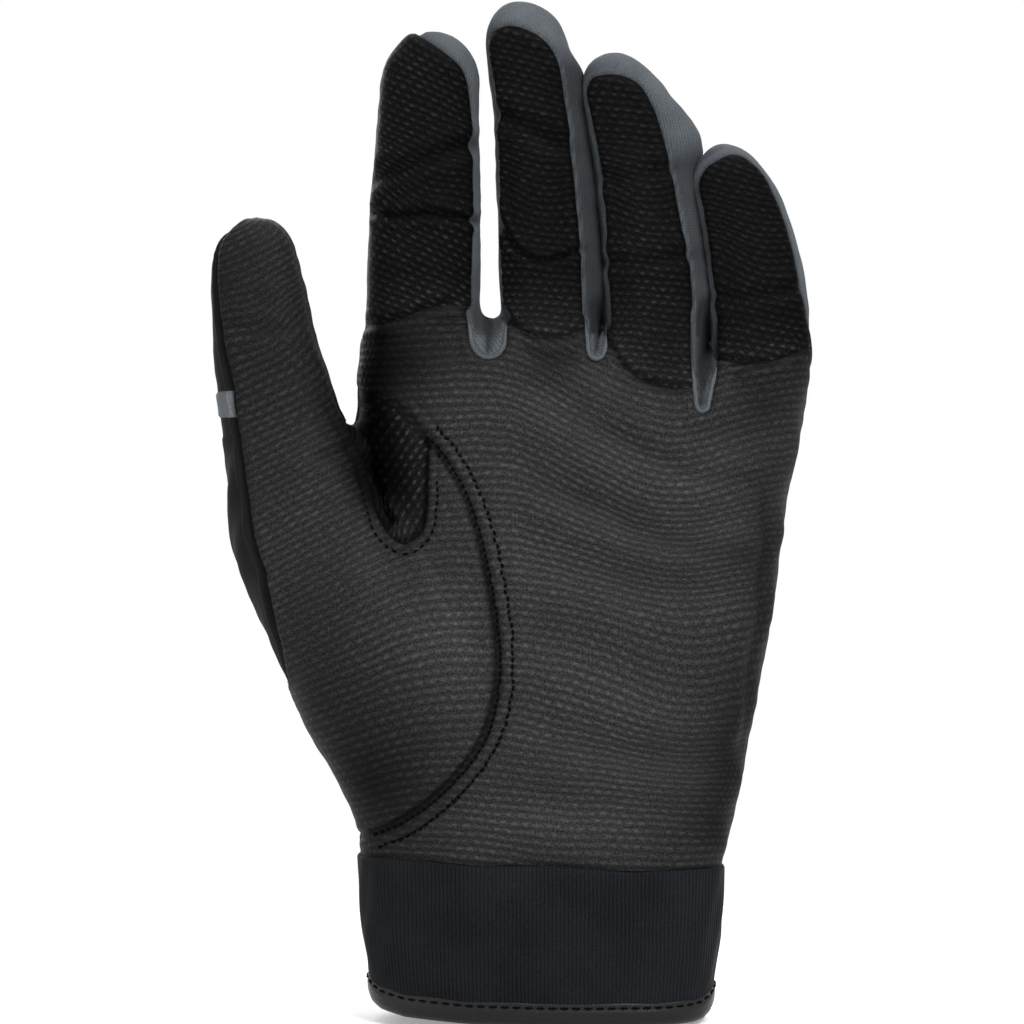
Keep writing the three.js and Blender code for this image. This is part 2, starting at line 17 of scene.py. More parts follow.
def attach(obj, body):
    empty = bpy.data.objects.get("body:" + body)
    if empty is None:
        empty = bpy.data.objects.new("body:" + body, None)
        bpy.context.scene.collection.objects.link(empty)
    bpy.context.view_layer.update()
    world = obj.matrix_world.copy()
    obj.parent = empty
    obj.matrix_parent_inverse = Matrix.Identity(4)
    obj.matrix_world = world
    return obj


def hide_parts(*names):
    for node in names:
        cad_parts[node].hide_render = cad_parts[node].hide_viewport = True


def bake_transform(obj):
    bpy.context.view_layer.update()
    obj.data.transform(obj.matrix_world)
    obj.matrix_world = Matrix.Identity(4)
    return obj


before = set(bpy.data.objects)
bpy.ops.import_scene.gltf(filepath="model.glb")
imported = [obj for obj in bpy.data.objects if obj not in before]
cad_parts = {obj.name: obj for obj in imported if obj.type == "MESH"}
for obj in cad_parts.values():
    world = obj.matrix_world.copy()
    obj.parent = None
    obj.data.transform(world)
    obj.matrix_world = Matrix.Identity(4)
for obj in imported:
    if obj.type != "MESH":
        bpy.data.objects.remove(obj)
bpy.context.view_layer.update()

METRE = 0.001

# Driving dimensions, as in the part
HAND_POWER = 2.6
DIGIT_POWER = 2.3
TIP_ROUNDNESS = 0.6
CUFF = {"half_width": 41.8, "half_depth": 20.0, "height": 36.0, "flare": 0.8, "thickness": 2.6}
BINDING = {"thickness": 0.7, "height": 6.0}
SEAM_GAP = 0.35
KNUCKLE_SLOPE = 0.16
KNUCKLE_SLOPE_START = 120.0

# The slit on the back of the cuff: its angle round the wrist and half its width, in degrees
SLIT = (90, 6)

# The palm cups forward at the little finger: how far, and the heights and widths over which it grows
CUP_DEPTH = 3.0
CUP_HEIGHTS = (60, 150)
CUP_WIDTHS = (10, 60)

# The lump that fills the crotch between the thumb and the index finger
THUMB_WEB = {"middle": (-44.2, -5, 128.2), "half": (4.2, 9, 8.8)}

# The hand from the wrist to the knuckles: height, thumb-side edge, little-finger edge, palm and back depth
HAND = [
    (30, -41.8, 41.8, 20, 20), (36.35, -41.8, 41.8, 20, 20), (50, -42, 45, 20, 18.5), (71, -43, 49, 19, 17.5),
    (92, -43, 53, 18, 17), (113, -43, 55.5, 17, 16), (134, -43, 58.4, 15.5, 15),
    (147, -42.5, 59.8, 13.8, 13.8), (155, -41.5, 60, 12, 12), (160.5, -39.5, 58, 9.5, 9.5),
    (164, -34, 53, 4, 4),
]

# Each digit from inside the hand to its tip: height, middle along X and Y, width and depth
DIGITS = {
    "index": [(110, -22, 0, 12, 14), (140, -27, 0, 25, 21), (165, -27.2, -1, 26.4, 22),
              (188, -26.5, -3, 25.5, 20.5), (212, -25.7, -5.5, 22.9, 18), (228.4, -24.9, -8, 22.6, 16)],
    "middle": [(110, 3, 0, 12, 14), (140, 2.2, 0, 23, 22), (165, 2, -1, 23.4, 22),
               (190, 0.6, -3, 22.4, 20.5), (215, -1.6, -5.5, 20.4, 18), (235.2, -5, -8.5, 20, 16)],
    "ring": [(108, 24, 0, 12, 14), (138, 26.8, -1.5, 23, 22), (163, 26.7, -3, 23.4, 22),
             (187, 24.7, -5, 22.2, 20.5), (207, 21.3, -7.5, 21.4, 18), (222.9, 16.4, -10.5, 19.4, 16)],
    "pinky": [(100, 40, 0, 12, 12), (132, 48.4, -2.5, 20.4, 17.5), (154.5, 51.4, -5, 22, 20),
              (172, 50.2, -6.5, 21.6, 18.5), (189, 46, -8.5, 19, 16.5), (202, 41.2, -10.5, 15.8, 15)],
    "thumb": [(38, -24, 0, 34, 30), (50, -22.5, -3, 43, 34), (65, -28.5, -4, 48, 38), (80, -35.2, -5, 48, 40),
              (95, -43, -6, 46, 40), (110, -50.5, -7, 42, 37), (125, -55.8, -8, 33, 31),
              (140, -60.2, -9, 27.6, 24), (158, -63.8, -11, 23.4, 21), (174, -65.6, -13, 19.6, 18.5),
              (184.2, -64.5, -15, 15.8, 17)],
}
FINGERS = ["index", "middle", "ring", "pinky"]

# Where each digit folds: the height of its base, the stretch of fabric that gives there, the height at which
# its lower pieces end and its upper ones start, and the stretch that gives at its bend
FOLDS = {
    "index": {"hinge": 165.2, "base": (165, 178), "split": 180, "bend": (182, 196)},
    "middle": {"hinge": 165.2, "base": (165.2, 176.5), "split": 178.5, "bend": (181, 199)},
    "ring": {"hinge": 163.2, "base": (163.2, 175), "split": 177.5, "bend": (180, 195)},
    "pinky": {"hinge": 154.7, "base": (154.7, 165), "split": 166, "bend": (167, 180)},
    "thumb": {"hinge": 138, "base": (138, 149), "split": 150, "bend": (151.5, 166)},
}

# Seams and the valley in the thumb's crotch, as the palm is seen: pairs of X and Z
THENAR_SEAM = [
    (-50, 149), (-41.5, 146), (-33, 140.5), (-27.4, 134.2), (-23.2, 129.4), (-18.1, 120.4), (-13.9, 106.4),
    (-10.9, 88), (-11.3, 74), (-15, 63), (-23.8, 52.6), (-32.5, 46.3), (-40, 43.2), (-52, 41.5),
]
CROTCH_SEAM = [
    (-52, 150), (-45, 136), (-41.3, 128.2), (-38.9, 118.9), (-36.6, 113.1), (-32.3, 109.8), (-28, 112.5),
    (-26.6, 118.5), (-26.4, 126), (-26.2, 134), (-26, 141),
]
MIDDLE_SEAM = [(-10.4, 191), (-9.4, 185), (-7, 180), (-1.2, 175.6), (4.6, 176.4), (9.6, 178.6)]
KNUCKLE_SEAM = [(-60, 143), (-40, 143), (-14, 139), (12, 137.5), (38, 132), (56, 126), (80, 120)]
BACK_SEAMS = [[(-13, 30), (-15.5, 60), (-16, 90), (-14, 116), (-10, 139)],
              [(22, 30), (26, 60), (28.6, 90), (30, 112), (30.5, 134)]]
CROTCH_VALLEY = [(-46, 142), (-43.6, 133), (-40.6, 124), (-37.6, 117.2), (-34.6, 113)]
THUMB_BACK_SEAM = [(-45, 152), (-43, 136), (-38, 118), (-33, 96), (-32, 70), (-36, 50), (-37, 30)]

# Leather on each finger: the angles of its two edges (0 faces the palm, 90 the little finger) at a height,
# and the line of its top as pairs of X and Z
LEATHER = {
    "index": {"left": [(165, -108), (215, -108), (226, -118)], "right": [(165, 57), (188, 57), (212, 57)],
              "top": [(-44, 236), (-31, 230), (-26.7, 227.2), (-19.2, 221.6), (-15.8, 216), (-12, 206),
                      (-9, 190), (-5, 172), (0, 158)]},
    "middle": {"left": [(166, -72), (190, -66), (213, -64), (226, -66)],
               "right": [(166, 38), (190, 39), (213, 46), (222, 52)],
               "top": [(-20, 226.5), (-11.6, 229.2), (-8.1, 230.4), (-4.2, 229.8), (0.5, 227.2), (3.9, 222.6),
                       (6, 214), (9, 198), (12.5, 184), (18, 168)]},
    "ring": {"left": [(166, -66), (190, -63), (206, -64), (214, -66)],
             "right": [(163, 41.5), (175, 43), (190, 43.6), (203.5, 40), (214, 46)],
             "top": [(0, 190), (4, 208), (9.3, 216.8), (16.2, 219.2), (22, 217.4), (25.5, 212.8), (29, 204),
                     (33, 186), (37, 172), (43, 158)]},
    "pinky": {"left": [(155, -74), (171, -70), (190, -68), (200, -70)],
              "right": [(155, 104), (171, 90), (184, 80), (194, 72), (200, 66)],
              "top": [(28, 174), (32, 190), (36.4, 195.4), (39.4, 198.4), (45.2, 200.6), (51, 197.4),
                      (54.5, 191.2), (58, 181), (62, 163), (66, 148)]},
}

# Where each finger starts on the palm side: the line of its base as pairs of X and Z
BASE_LINES = {
    "index": [(-45, 160.4), (-39, 160.8), (-33, 161.4), (-27, 163.8), (-14, 165)],
    "middle": [(-11, 164.4), (-6, 160.4), (-2, 157.8), (3, 157.2), (9, 159), (13, 161)],
    "ring": [(13, 160), (18.5, 151.6), (24, 147.6), (31, 145.8), (37, 146)],
    "pinky": [(38, 154.2), (46, 151.9), (53, 152), (62, 154.8)],
}

# The edge of a digit's back fabric above the digit's middle, as a share of its half depth
BACK_SHARE = dict.fromkeys(FINGERS, 0.57) | {"thumb": 0.2}

# The thumb's leather: the angle of its outer edge at a height, the angle of its inner edge, and the heights
# of the grey band
THUMB_EDGE = [(40, -100), (70, -96), (76, -90), (79, -70), (86.5, -57.5), (104, -41), (123, -42), (139, -41),
              (146, -40), (162, -49), (174, -54), (183, -66)]
THUMB_INNER_EDGE = 100
THUMB_BAND = (138.8, 144.8)

# How far behind the middle of the hand the palm's leather ends, and where the cuff ends: height and slope
HAND_PARTING = 3.0
CUFF_LINE = 36.9
CUFF_SLOPE = 0.032

# Pockets between the fingers, as the palm is seen: middle at the foot and above, height of the foot, half
# width at the foot and above, depth
POCKETS = {
    "web_index_middle": {"x": (-12.3, -12.6), "foot": 153.0, "half": (3.7, 4.9), "depth": 5.0},
    "web_middle_ring": {"x": (12.8, 12.6), "foot": 152.6, "half": (1.9, 2.9), "depth": 5.0},
    "web_ring_pinky": {"x": (37.4, 38.0), "foot": 140.4, "half": (1.4, 3.1), "depth": 5.0},
}

# Creases as the palm is seen: a line of X and Z, depth, half width, and the height of the ridges beside it
CREASES = [
    ([(-42, 187.2), (-34.8, 186.2), (-26.7, 186.6), (-19.7, 185.6), (-13, 184.6)], 1.4, 1.0, 0.5),
    ([(-41, 193.5), (-35.4, 195.9), (-30, 198.4), (-24, 200.4), (-18, 202), (-13, 203)], 1.1, 1.7, 0.45),
    ([(-43, 160.2), (-39, 160.8), (-33, 162.2), (-27, 164.4), (-21, 166)], 1.0, 1.0, 0.45),
    (MIDDLE_SEAM, 0.7, 0.7, 0.4),
    ([(-12, 211), (-6, 208), (0, 204.5), (6, 201.5)], 0.9, 1.9, 0.3),
    ([(-9.2, 164.4), (-6, 160.4), (-2, 157.8), (3, 157.2), (9, 159)], 0.9, 0.9, 0.4),
    ([(-5, 156.5), (-1, 153.4), (3, 152.4), (8, 154)], 0.5, 1.5, 0.2),
    ([(15.4, 157.5), (18.5, 151.6), (24, 147.6), (31, 145.8), (36, 146)], 1.0, 0.9, 0.45),
    ([(14.5, 175.4), (21, 175.2), (28, 175.8), (35, 177)], 0.6, 1.4, 0.3),
    ([(14, 195.6), (18, 194.6), (24, 195.8), (31, 197)], 0.6, 1.6, 0.25),
    ([(40.5, 153.4), (46, 151.9), (53, 152), (61, 154.8)], 0.9, 0.8, 0.5),
    ([(40.5, 168.2), (46, 167.4), (53, 167.8), (61, 169.6)], 0.6, 1.4, 0.25),
    ([(51.6, 122), (52, 112), (50.6, 96), (48.6, 78), (46.6, 62)], 0.8, 1.5, 0.3),
    ([(-58, 160), (-62, 159), (-68, 160), (-73, 161)], 0.4, 1.4, 0.2),
    ([(-52, 130), (-47, 131.5), (-42, 134.5)], 0.5, 1.2, 0.2),
    ([(14, 137), (26, 130.5), (38, 125.5), (52, 124)], 0.45, 2.2, 0.2),
    ([(-4, 124), (10, 120), (24, 112.5), (40, 107.5), (50, 107)], 0.4, 2.4, 0.2),
]

# Painted light and shade on the leather, by which its colour is multiplied: the level on the palm, the
# painted shade on each finger beyond its base, how far that leans to the thumb's side, the painted shade on
# the thumb, and soft patches of painted light and shade as X, Z, half width, half height and change
PALM_PAINTED_LIGHTING = 0.72
FINGER_PAINTED_SHADE = 0.25
FINGER_PAINTED_SIDE_SHADE = 0.6
THUMB_PAINTED_SHADE = 0.57
PAINTED_LIGHTING_PATCHES = [
    (-39, 146, 12, 18, -0.52), (-40, 128, 6, 13, -0.6), (-32, 122, 5.5, 11, -0.45), (52, 100, 7, 50, -0.2),
    (-22, 88, 8, 13, 0.22), (-38, 58, 18, 26, -0.36), (4, 46, 32, 4.5, 0.16), (42, 121, 14, 8, 0.14),
    (3, 151, 6, 4, -0.25), (28, 147, 8, 3, -0.13), (10, 100, 22, 14, 0.04), (-38, 159, 4, 3, -0.25),
    (0, 196, 10, 24, -0.1), (24, 188, 10, 24, 0.16), (-27, 196, 10, 24, -0.06), (45, 56, 8, 24, -0.5),
    (38, 43, 12, 8, -0.3), (53, 96, 4, 30, -0.14), (-52, 84, 9, 34, -0.14), (-40, 52, 14, 11, -0.22),
    (-30, 154, 16, 8, -0.26), (0, 153, 16, 6, -0.12), (29, 156, 7, 10, -0.36), (48, 142, 14, 9, -0.2),
    (8, 78, 30, 26, 0.1), (-6, 104, 8, 14, 0.1),
]

# Swelling of the grey finger sides: the angle where it is highest, how high, its half angle, and the heights
# between which it shows
SWELLS = {
    "middle": [(76, 1.9, 34, 151, 225)],
    "ring": [(-88, 1.0, 24, 149, 214), (84, 2.1, 34, 149, 214), (92, 1.9, 40, 194, 209.5)],
    "pinky": [(-88, 1.7, 30, 145, 200)],
}

# Painted shade on the sides of the fingers that look into a gap: which side, the height above which light
# falls in and the painted shade fades out, the width of the unshaded rim along the leather, and how dark the
# painted shade is
TUNNELS = {"index": [(1, 218, 0.0, 0.28)], "middle": [(1, 226, 0.2, 0.88)],
           "ring": [(-1, 222, 1.0, 0.76), (1, 204, 0.3, 0.72)], "pinky": [(-1, 204, 1.3, 0.72)]}

# Where the rows of the palm's embossing sag: how far at X, and the share of it at Z
ROW_DROP = [(-60, -2), (-25, -1), (-8, 0), (0, 2.6), (12, 7.6), (24, 12.4), (32, 13.8), (42, 12.2), (62, 7.4)]
ROW_SHARE = [(30, 0.3), (50, 0.35), (70, 0.8), (96, 0.5), (122, 1), (170, 1)]

# How far the rows on the ball of the thumb rise at X
THENAR_RISE = [(-80, -10), (-60, 0), (-40, 10), (-32, 13.4), (-24, 15), (-14, 15.2), (-4, 14.6)]

# Relief and painted shade across seams and edges, as waves: place across the seam, half width, height or
# darkness
LEATHER_EDGE = [(2, 1.3, 0.35), (0, 0.8, -0.6)]
BACK_EDGE = [(1.5, 0.9, 0.35), (0, 0.7, -0.5)]
HAND_EDGE = [(0, 0.8, -0.6), (2, 1.2, 0.4)]
HAND_RIDGE = [(-1.5, 0.6, 0.5)]
THENAR_ROWS = (1.3, 4.1)
THENAR_WAVES = [(2.8, 0.8, 0.5), (0, 0.7, -0.9), (-1.6, 0.9, 0.3)] + [(row, 0.6, -0.5) for row in THENAR_ROWS]
THENAR_SHADE = [(0, 0.9, 1), (1.2, 1.6, 0.35)] + [(row, 0.5, 0.3) for row in THENAR_ROWS]
CROTCH_WAVES = [(-1.0, 0.8, 0.7), (0.3, 0.6, -0.8), (-2.4, 0.5, -0.3)]
CROTCH_SHADE = [(0.3, 1.1, 1), (-2.2, 0.5, 0.3)]
BACK_SEAM_WAVES = [(1.6, 1.0, 0.35), (0, 0.6, -0.7)]
KNUCKLE_WAVES = [(0, 1.0, 0.75), (2.0, 0.6, -0.45)]
KNUCKLE_RIBS = [(at, 1.25, 0.85) for at in (8, 12.4, 16.8)]
KNUCKLE_GROOVES = [(at, 0.8, 1) for at in (5.8, 10.2, 14.6, 19)]
JOINT_RIBS = [(at, 1.2, 0.6) for at in (-4.2, 0, 4.2)]
JOINT_GROOVES = [(at, 0.7, 1) for at in (-2.1, 2.1, 6.3)]

# The camera, as the photograph was taken
CAMERA_DISTANCE = 780.0
SEEN_MIDDLE = (-6.8, 117.3)
SEEN_WIDTH = 238.0


# Small helpers
def smooth(value, low, high):
    t = np.clip((value - low) / (high - low), 0, 1)
    return t * t * (3 - 2 * t)


def lerp(a, b, t):
    return a + (b - a) * t


def soft_min(a, b, radius):
    """The lesser of two fields, with the corner between them rounded."""
    h = np.clip(0.5 + 0.5 * (b - a) / radius, 0, 1)
    return lerp(b, a, h) - radius * h * (1 - h)


def table(pairs, at):
    x, y = zip(*pairs)
    return np.interp(at, x, y)


def along(stations, z):
    """Each column of the stations at the heights z, on a smooth curve through them."""
    s = np.array(stations, float)
    at = s[:, 0]
    z = np.clip(z, at[0], at[-1])
    i = np.clip(np.searchsorted(at, z, side="right") - 1, 0, len(at) - 2)
    before, after = np.maximum(i - 1, 0), np.minimum(i + 2, len(at) - 1)
    step = at[i + 1] - at[i]
    t = ((z - at[i]) / step)[:, None]

    def rise(a, b):
        return (s[b] - s[a]) * (step / (at[b] - at[a]))[:, None]

    m0, m1 = rise(before, i + 1), rise(i, after)
    return ((2 * t**3 - 3 * t**2 + 1) * s[i] + (t**3 - 2 * t**2 + t) * m0
            + (3 * t**2 - 2 * t**3) * s[i + 1] + (t**3 - t**2) * m1)


def spline(points, each=10):
    """A smooth line through points of any dimension, at even steps of its parameter."""
    p = np.array(points, float)
    rows = np.column_stack([np.arange(len(p)), p])
    return along(rows, np.linspace(0, len(p) - 1, each * (len(p) - 1) + 1))[:, 1:]


def to_line(points, x, z):
    """Distance to a smooth line in the X and Z plane, which side (left of its run is above 0), and how far
    along it, from 0 to 1."""
    line = spline(points)
    a, d = line[:-1], np.diff(line, axis=0)
    length = np.hypot(*d.T)
    start = np.r_[0, np.cumsum(length)]
    best = np.full(len(x), 1e9)
    side, run = np.zeros(len(x)), np.zeros(len(x))
    for i in range(len(a)):
        px, pz = x - a[i, 0], z - a[i, 1]
        t = np.clip((px * d[i, 0] + pz * d[i, 1]) / length[i] ** 2, 0, 1)
        gap = np.hypot(px - t * d[i, 0], pz - t * d[i, 1])
        near = gap < best - 1e-9
        best[near] = gap[near]
        side[near] = np.sign(d[i, 0] * pz - d[i, 1] * px)[near]
        run[near] = ((start[i] + t * length[i]) / start[-1])[near]
    return best, side, run


def line_side(points, x, z):
    """Distance to a smooth line, below zero to the right of its run."""
    gap, side, _ = to_line(points, x, z)
    return side * gap


def window(value, start, full, fall, end):
    """1 between full and fall, and smoothly down to 0 at start and at end."""
    return smooth(value, start, full) * (1 - smooth(value, fall, end))


def bump(value, width):
    return np.exp(-((value / width) ** 2))


def relief(distance, rows):
    """Relief at a distance across a seam, as the sum of its waves."""
    return sum(height * bump(distance - at, half) for at, half, height in rows)


def ripple(p, size, seed, waves=7):
    """A smooth uneven field between about -1 and 1, the same on every run."""
    pick = np.random.RandomState(seed)
    total = np.zeros(len(p))
    for _ in range(waves):
        way = pick.normal(size=3)
        way *= (2 * np.pi / size) * pick.uniform(0.6, 1.5) / np.linalg.norm(way)
        total += np.sin(p @ way + pick.uniform(0, 2 * np.pi))
    return total / math.sqrt(waves)


# Sections of the hand
def section(digit, z):
    """Middle, half width and half depth of a digit at heights, and how far its round end draws it in."""
    rows = along(DIGITS[digit], z)
    tip, width = DIGITS[digit][-1][0], DIGITS[digit][-1][3]
    into = np.clip((z - tip) / (TIP_ROUNDNESS * width) + 1, 0, 1)
    return rows[:, 1], rows[:, 2], rows[:, 3] / 2, rows[:, 4] / 2, np.sqrt(1 - into**2.4)


def angle_round(digit, p):
    """The angle round a digit: 0 faces the palm, a quarter turn faces the little finger."""
    cx, cy, hw, hd, _ = section(digit, p[:, 2])
    return np.arctan2((p[:, 0] - cx) / hw, -(p[:, 1] - cy) / hd)


def turn_of(digit, p):
    return np.degrees(angle_round(digit, p))


def outside(digit, p):
    """Roughly how far points lie outside a digit."""
    cx, cy, hw, hd, dome = section(digit, p[:, 2])
    hw, hd = hw * dome + 0.05, hd * dome + 0.05
    q = (np.abs((p[:, 0] - cx) / hw) ** DIGIT_POWER + np.abs((p[:, 1] - cy) / hd) ** DIGIT_POWER)
    return (q ** (1 / DIGIT_POWER) - 1) * np.minimum(hw, hd)


def oval(turn, half_width, palm, back, power):
    def bulge(v):
        return np.sign(v) * np.abs(v) ** (2 / power)
    return half_width * bulge(np.cos(turn)), np.where(np.sin(turn) < 0, palm, back) * bulge(np.sin(turn))


def cup(x, z):
    """How far the little finger's side of the palm lies forward."""
    return CUP_DEPTH * smooth(z, *CUP_HEIGHTS) * smooth(x, *CUP_WIDTHS)


def sleeve(rows, count):
    """Quads between rings of equally many points."""
    i, k = np.meshgrid(np.arange(rows - 1), np.arange(count), indexing="ij")
    a, b = i * count + k, i * count + (k + 1) % count
    return np.stack([a, b, b + count, a + count], -1).reshape(-1, 4)


def bar(rows, count):
    """Quads of a closed bar over rings of equally many points: its sides, then its ends."""
    j = np.arange(count // 2 - 1)
    end = np.stack([j, j + 1, count - 2 - j, count - 1 - j], -1)
    return np.concatenate([sleeve(rows, count), end[:, ::-1], end + (rows - 1) * count])


def digit_rings(digit, inset, sides=56):
    stations = DIGITS[digit]
    tip, length = stations[-1][0] - inset, TIP_ROUNDNESS * stations[-1][3]
    straight = np.arange(stations[0][0], tip - length, 2.0)
    z = np.r_[straight, tip - length + length * np.sin(np.linspace(0, np.pi / 2, 14)) * 0.9995]
    cx, cy, hw, hd, dome = section(digit, np.where(z > tip - length, z + inset, z))
    turn = np.linspace(0, 2 * np.pi, sides, endpoint=False)[None, :]
    a = np.maximum(hw * dome - inset, 0.25)[:, None]
    b = np.maximum(hd * dome - inset, 0.25)[:, None]
    x, y = oval(turn, a, b, b, DIGIT_POWER)
    return np.stack([cx[:, None] + x, cy[:, None] + y, np.repeat(z[:, None], sides, 1)], 2)


def hand_rings(inset, sides=120):
    top, knuckles = HAND[-1][0], 150
    z = np.r_[np.arange(HAND[0][0], knuckles, 2.5), np.linspace(knuckles, top - inset, 10)]
    _, left, right, palm, back = along(HAND, z).T
    turn = np.linspace(0, 2 * np.pi, sides, endpoint=False)[None, :]
    half = ((right - left) / 2 - inset)[:, None]
    x, y = oval(turn, half, (palm - inset)[:, None], (back - inset)[:, None], HAND_POWER)
    x = x + ((left + right) / 2)[:, None]
    rise = np.maximum(0, (z - KNUCKLE_SLOPE_START) / (top - KNUCKLE_SLOPE_START))[:, None]
    high = z[:, None] - KNUCKLE_SLOPE * rise * (x - DIGITS["index"][0][1])
    return np.stack([x, y - cup(x, z[:, None]), high], 2)


def web_rings(steps=24):
    """A lump that fills the crotch between the thumb and the index finger."""
    up = np.linspace(-0.5 * np.pi + 0.02, 0.5 * np.pi - 0.02, steps)[:, None]
    turn = np.linspace(0, 2 * np.pi, 2 * steps, endpoint=False)[None, :]
    ball = np.stack([np.cos(up) * np.cos(turn), np.cos(up) * np.sin(turn), np.sin(up) + 0 * turn], 2)
    return ball * THUMB_WEB["half"] + THUMB_WEB["middle"]


# The skin: it is remeshed in small cubes from shapes drawn in a little, smoothed, and let out again
VOXEL = 0.8
SHRINK = 0.8
SWELL = 0.65


def make_skin():
    """One closed skin over hand, fingers and thumb: points, quads and triangles."""
    points, faces, count = [], [], 0
    for rings in [hand_rings(SHRINK), web_rings()] + [digit_rings(d, SHRINK) for d in DIGITS]:
        n, m = rings.shape[:2]
        ends = [range(m - 1, -1, -1), range((n - 1) * m, n * m)]
        faces += [[count + i for i in face] for face in sleeve(n, m).tolist() + ends]
        points.append(rings.reshape(-1, 3))
        count += n * m
    mesh = bpy.data.meshes.new("skin")
    mesh.from_pydata((np.concatenate(points) * METRE).tolist(), [], faces)
    holder = link(bpy.data.objects.new("skin", mesh))
    remesh = holder.modifiers.new("remesh", "REMESH")
    remesh.mode = "VOXEL"
    remesh.voxel_size = VOXEL * METRE
    done = holder.evaluated_get(bpy.context.evaluated_depsgraph_get()).to_mesh()
    v = np.empty(len(done.vertices) * 3, np.float32)
    done.vertices.foreach_get("co", v)
    v = v.reshape(-1, 3).astype(float) / METRE
    faces = [f.vertices[:] for f in done.polygons]
    quads, tris = (np.array([f for f in faces if len(f) == k], int).reshape(-1, k) for k in (4, 3))
    bpy.data.objects.remove(holder)
    bpy.data.meshes.remove(mesh)
    return v, quads, tris


def corner_normals(v, quads, tris):
    total = np.zeros_like(v)
    for faces, flat in (
        (quads, lambda f: np.cross(v[f[:, 2]] - v[f[:, 0]], v[f[:, 3]] - v[f[:, 1]])),
        (tris, lambda f: np.cross(v[f[:, 1]] - v[f[:, 0]], v[f[:, 2]] - v[f[:, 0]])),
    ):
        if len(faces):
            n = flat(faces)
            for k in range(faces.shape[1]):
                for axis in range(3):
                    total[:, axis] += np.bincount(faces[:, k], n[:, axis], len(v))
    return total / np.maximum(np.linalg.norm(total, axis=1), 1e-12)[:, None]


def face_edges(quads, tris):
    """The edges of each face, in the face's direction."""
    return np.concatenate([f[:, [k, (k + 1) % n]] for f, n in ((quads, 4), (tris, 3)) for k in range(n)])


def relax(v, edges, amount, rounds):
    """Draws each point towards its neighbours, as far as its amount says."""
    a, b = edges.T
    count = np.bincount(edges.ravel(), minlength=len(v))[:, None]
    for _ in range(rounds):
        total = [np.bincount(a, v[b, k], len(v)) + np.bincount(b, v[a, k], len(v)) for k in range(3)]
        v = v + amount[:, None] * (np.stack(total, 1) / count - v)
    return v


def seen(p):
    """Points as the camera sees them, in the plane through the middle of the glove."""
    share = CAMERA_DISTANCE / (CAMERA_DISTANCE + p[:, 1])
    return (SEEN_MIDDLE[0] + (p[:, 0] - SEEN_MIDDLE[0]) * share,
            SEEN_MIDDLE[1] + (p[:, 2] - SEEN_MIDDLE[1]) * share)


def pocket(name, x, z):
    """Distance outside the mouth of a pocket between two fingers, as the palm is seen."""
    w = POCKETS[name]
    up = smooth(z, w["foot"], w["foot"] + 14)
    half = lerp(*w["half"], up)
    drop = np.maximum(w["foot"] + w["half"][0] - z, 0)
    return np.hypot(x - lerp(*w["x"], up), drop) - half


# Parting the skin into panels: what each of its points holds
REST, PLACE, NORMAL, SHADE, PAINTED_LIGHTING, BASE = slice(0, 3), slice(3, 6), slice(6, 9), 9, 10, 11


def compact(data, quads, tris):
    used = np.unique(np.r_[quads.ravel(), tris.ravel()]).astype(int)
    new = np.zeros(len(data), int)
    new[used] = np.arange(len(used))
    return data[used], new[quads], new[tris]


def part(sheet, field):
    """Parts a sheet where a field changes sign: the side above zero, then the side below it."""
    data, quads, tris = sheet
    above = field > 0
    count = above[quads].sum(1)
    mixed = quads[(count > 0) & (count < 4)]
    every = np.concatenate([tris, mixed[:, [0, 1, 2]], mixed[:, [0, 2, 3]]]).astype(int)
    held = above[every].sum(1)
    crossing = every[(held == 1) | (held == 2)]
    one_above = above[crossing].sum(1) == 1
    lone = np.argmax(above[crossing] == one_above[:, None], axis=1)
    crossing = np.take_along_axis(crossing, (lone[:, None] + np.arange(3)) % 3, axis=1)
    ends = np.concatenate([crossing[:, [0, 1]], crossing[:, [0, 2]]])
    _, first, back = np.unique(np.sort(ends, axis=1), axis=0, return_index=True, return_inverse=True)
    a, b = ends[first].T
    t = (field[a] / (field[a] - field[b]))[:, None] if len(first) else np.zeros((0, 1))
    fresh = data[a] + t * (data[b] - data[a])
    index = len(data) + back.reshape(-1)
    ab, ac = index[: len(crossing)], index[len(crossing):]
    point = np.column_stack([crossing[:, 0], ab, ac])
    rest = np.column_stack([ab, crossing[:, 1], crossing[:, 2], ac])
    data = np.concatenate([data, fresh])
    sides = []
    for mine, whole_quads, whole_tris in (
        (one_above, quads[count == 4], every[held == 3]),
        (~one_above, quads[count == 0], every[held == 0]),
    ):
        q = np.concatenate([whole_quads, rest[~mine]]).astype(int)
        t3 = np.concatenate([whole_tris, point[mine]]).astype(int)
        sides.append(compact(data, q.reshape(-1, 4), t3.reshape(-1, 3)))
    return sides


# Where the leather ends: fields that are above zero on one panel and below zero on its neighbour
OFF_DIGIT = -10
FAR_INSIDE = 40
WIDE_OPEN = 14
POCKET_TOP = (163, 172)
THUMB_BASE = FOLDS["thumb"]["hinge"]

# The thumb's side of the hand: X at the thumb's base, and how far it moves out over a height
THUMB_SIDE = -45
THUMB_SIDE_SLOPE = 0.1

# Where one leather edge takes over from another: angles on a finger's front, X beside the thumb, shares of
# the thumb's half width, heights on the thumb, and how far behind the thumb's middle its leather ends
FRONT_ANGLES = (45, 75)
BESIDE_THUMB = (-52, -40)
THUMB_SHARES = (0.1, 0.5)
THUMB_LEATHER_TOP = (150, 156)
THUMB_PARTING = 3


def cuff_top(x):
    """Where the cuff ends and the hand starts: higher on the thumb's side, and a little wavy."""
    return CUFF_LINE - CUFF_SLOPE * x + 0.35 * np.sin(x / 5.5 + 1)


def owner_of(p):
    """Which finger each point is nearest to."""
    return np.argmin(np.stack([outside(d, p) for d in FINGERS], 1), 1)


def on_thumb(p):
    return p[:, 0] < THUMB_SIDE - THUMB_SIDE_SLOPE * (p[:, 2] - THUMB_BASE)


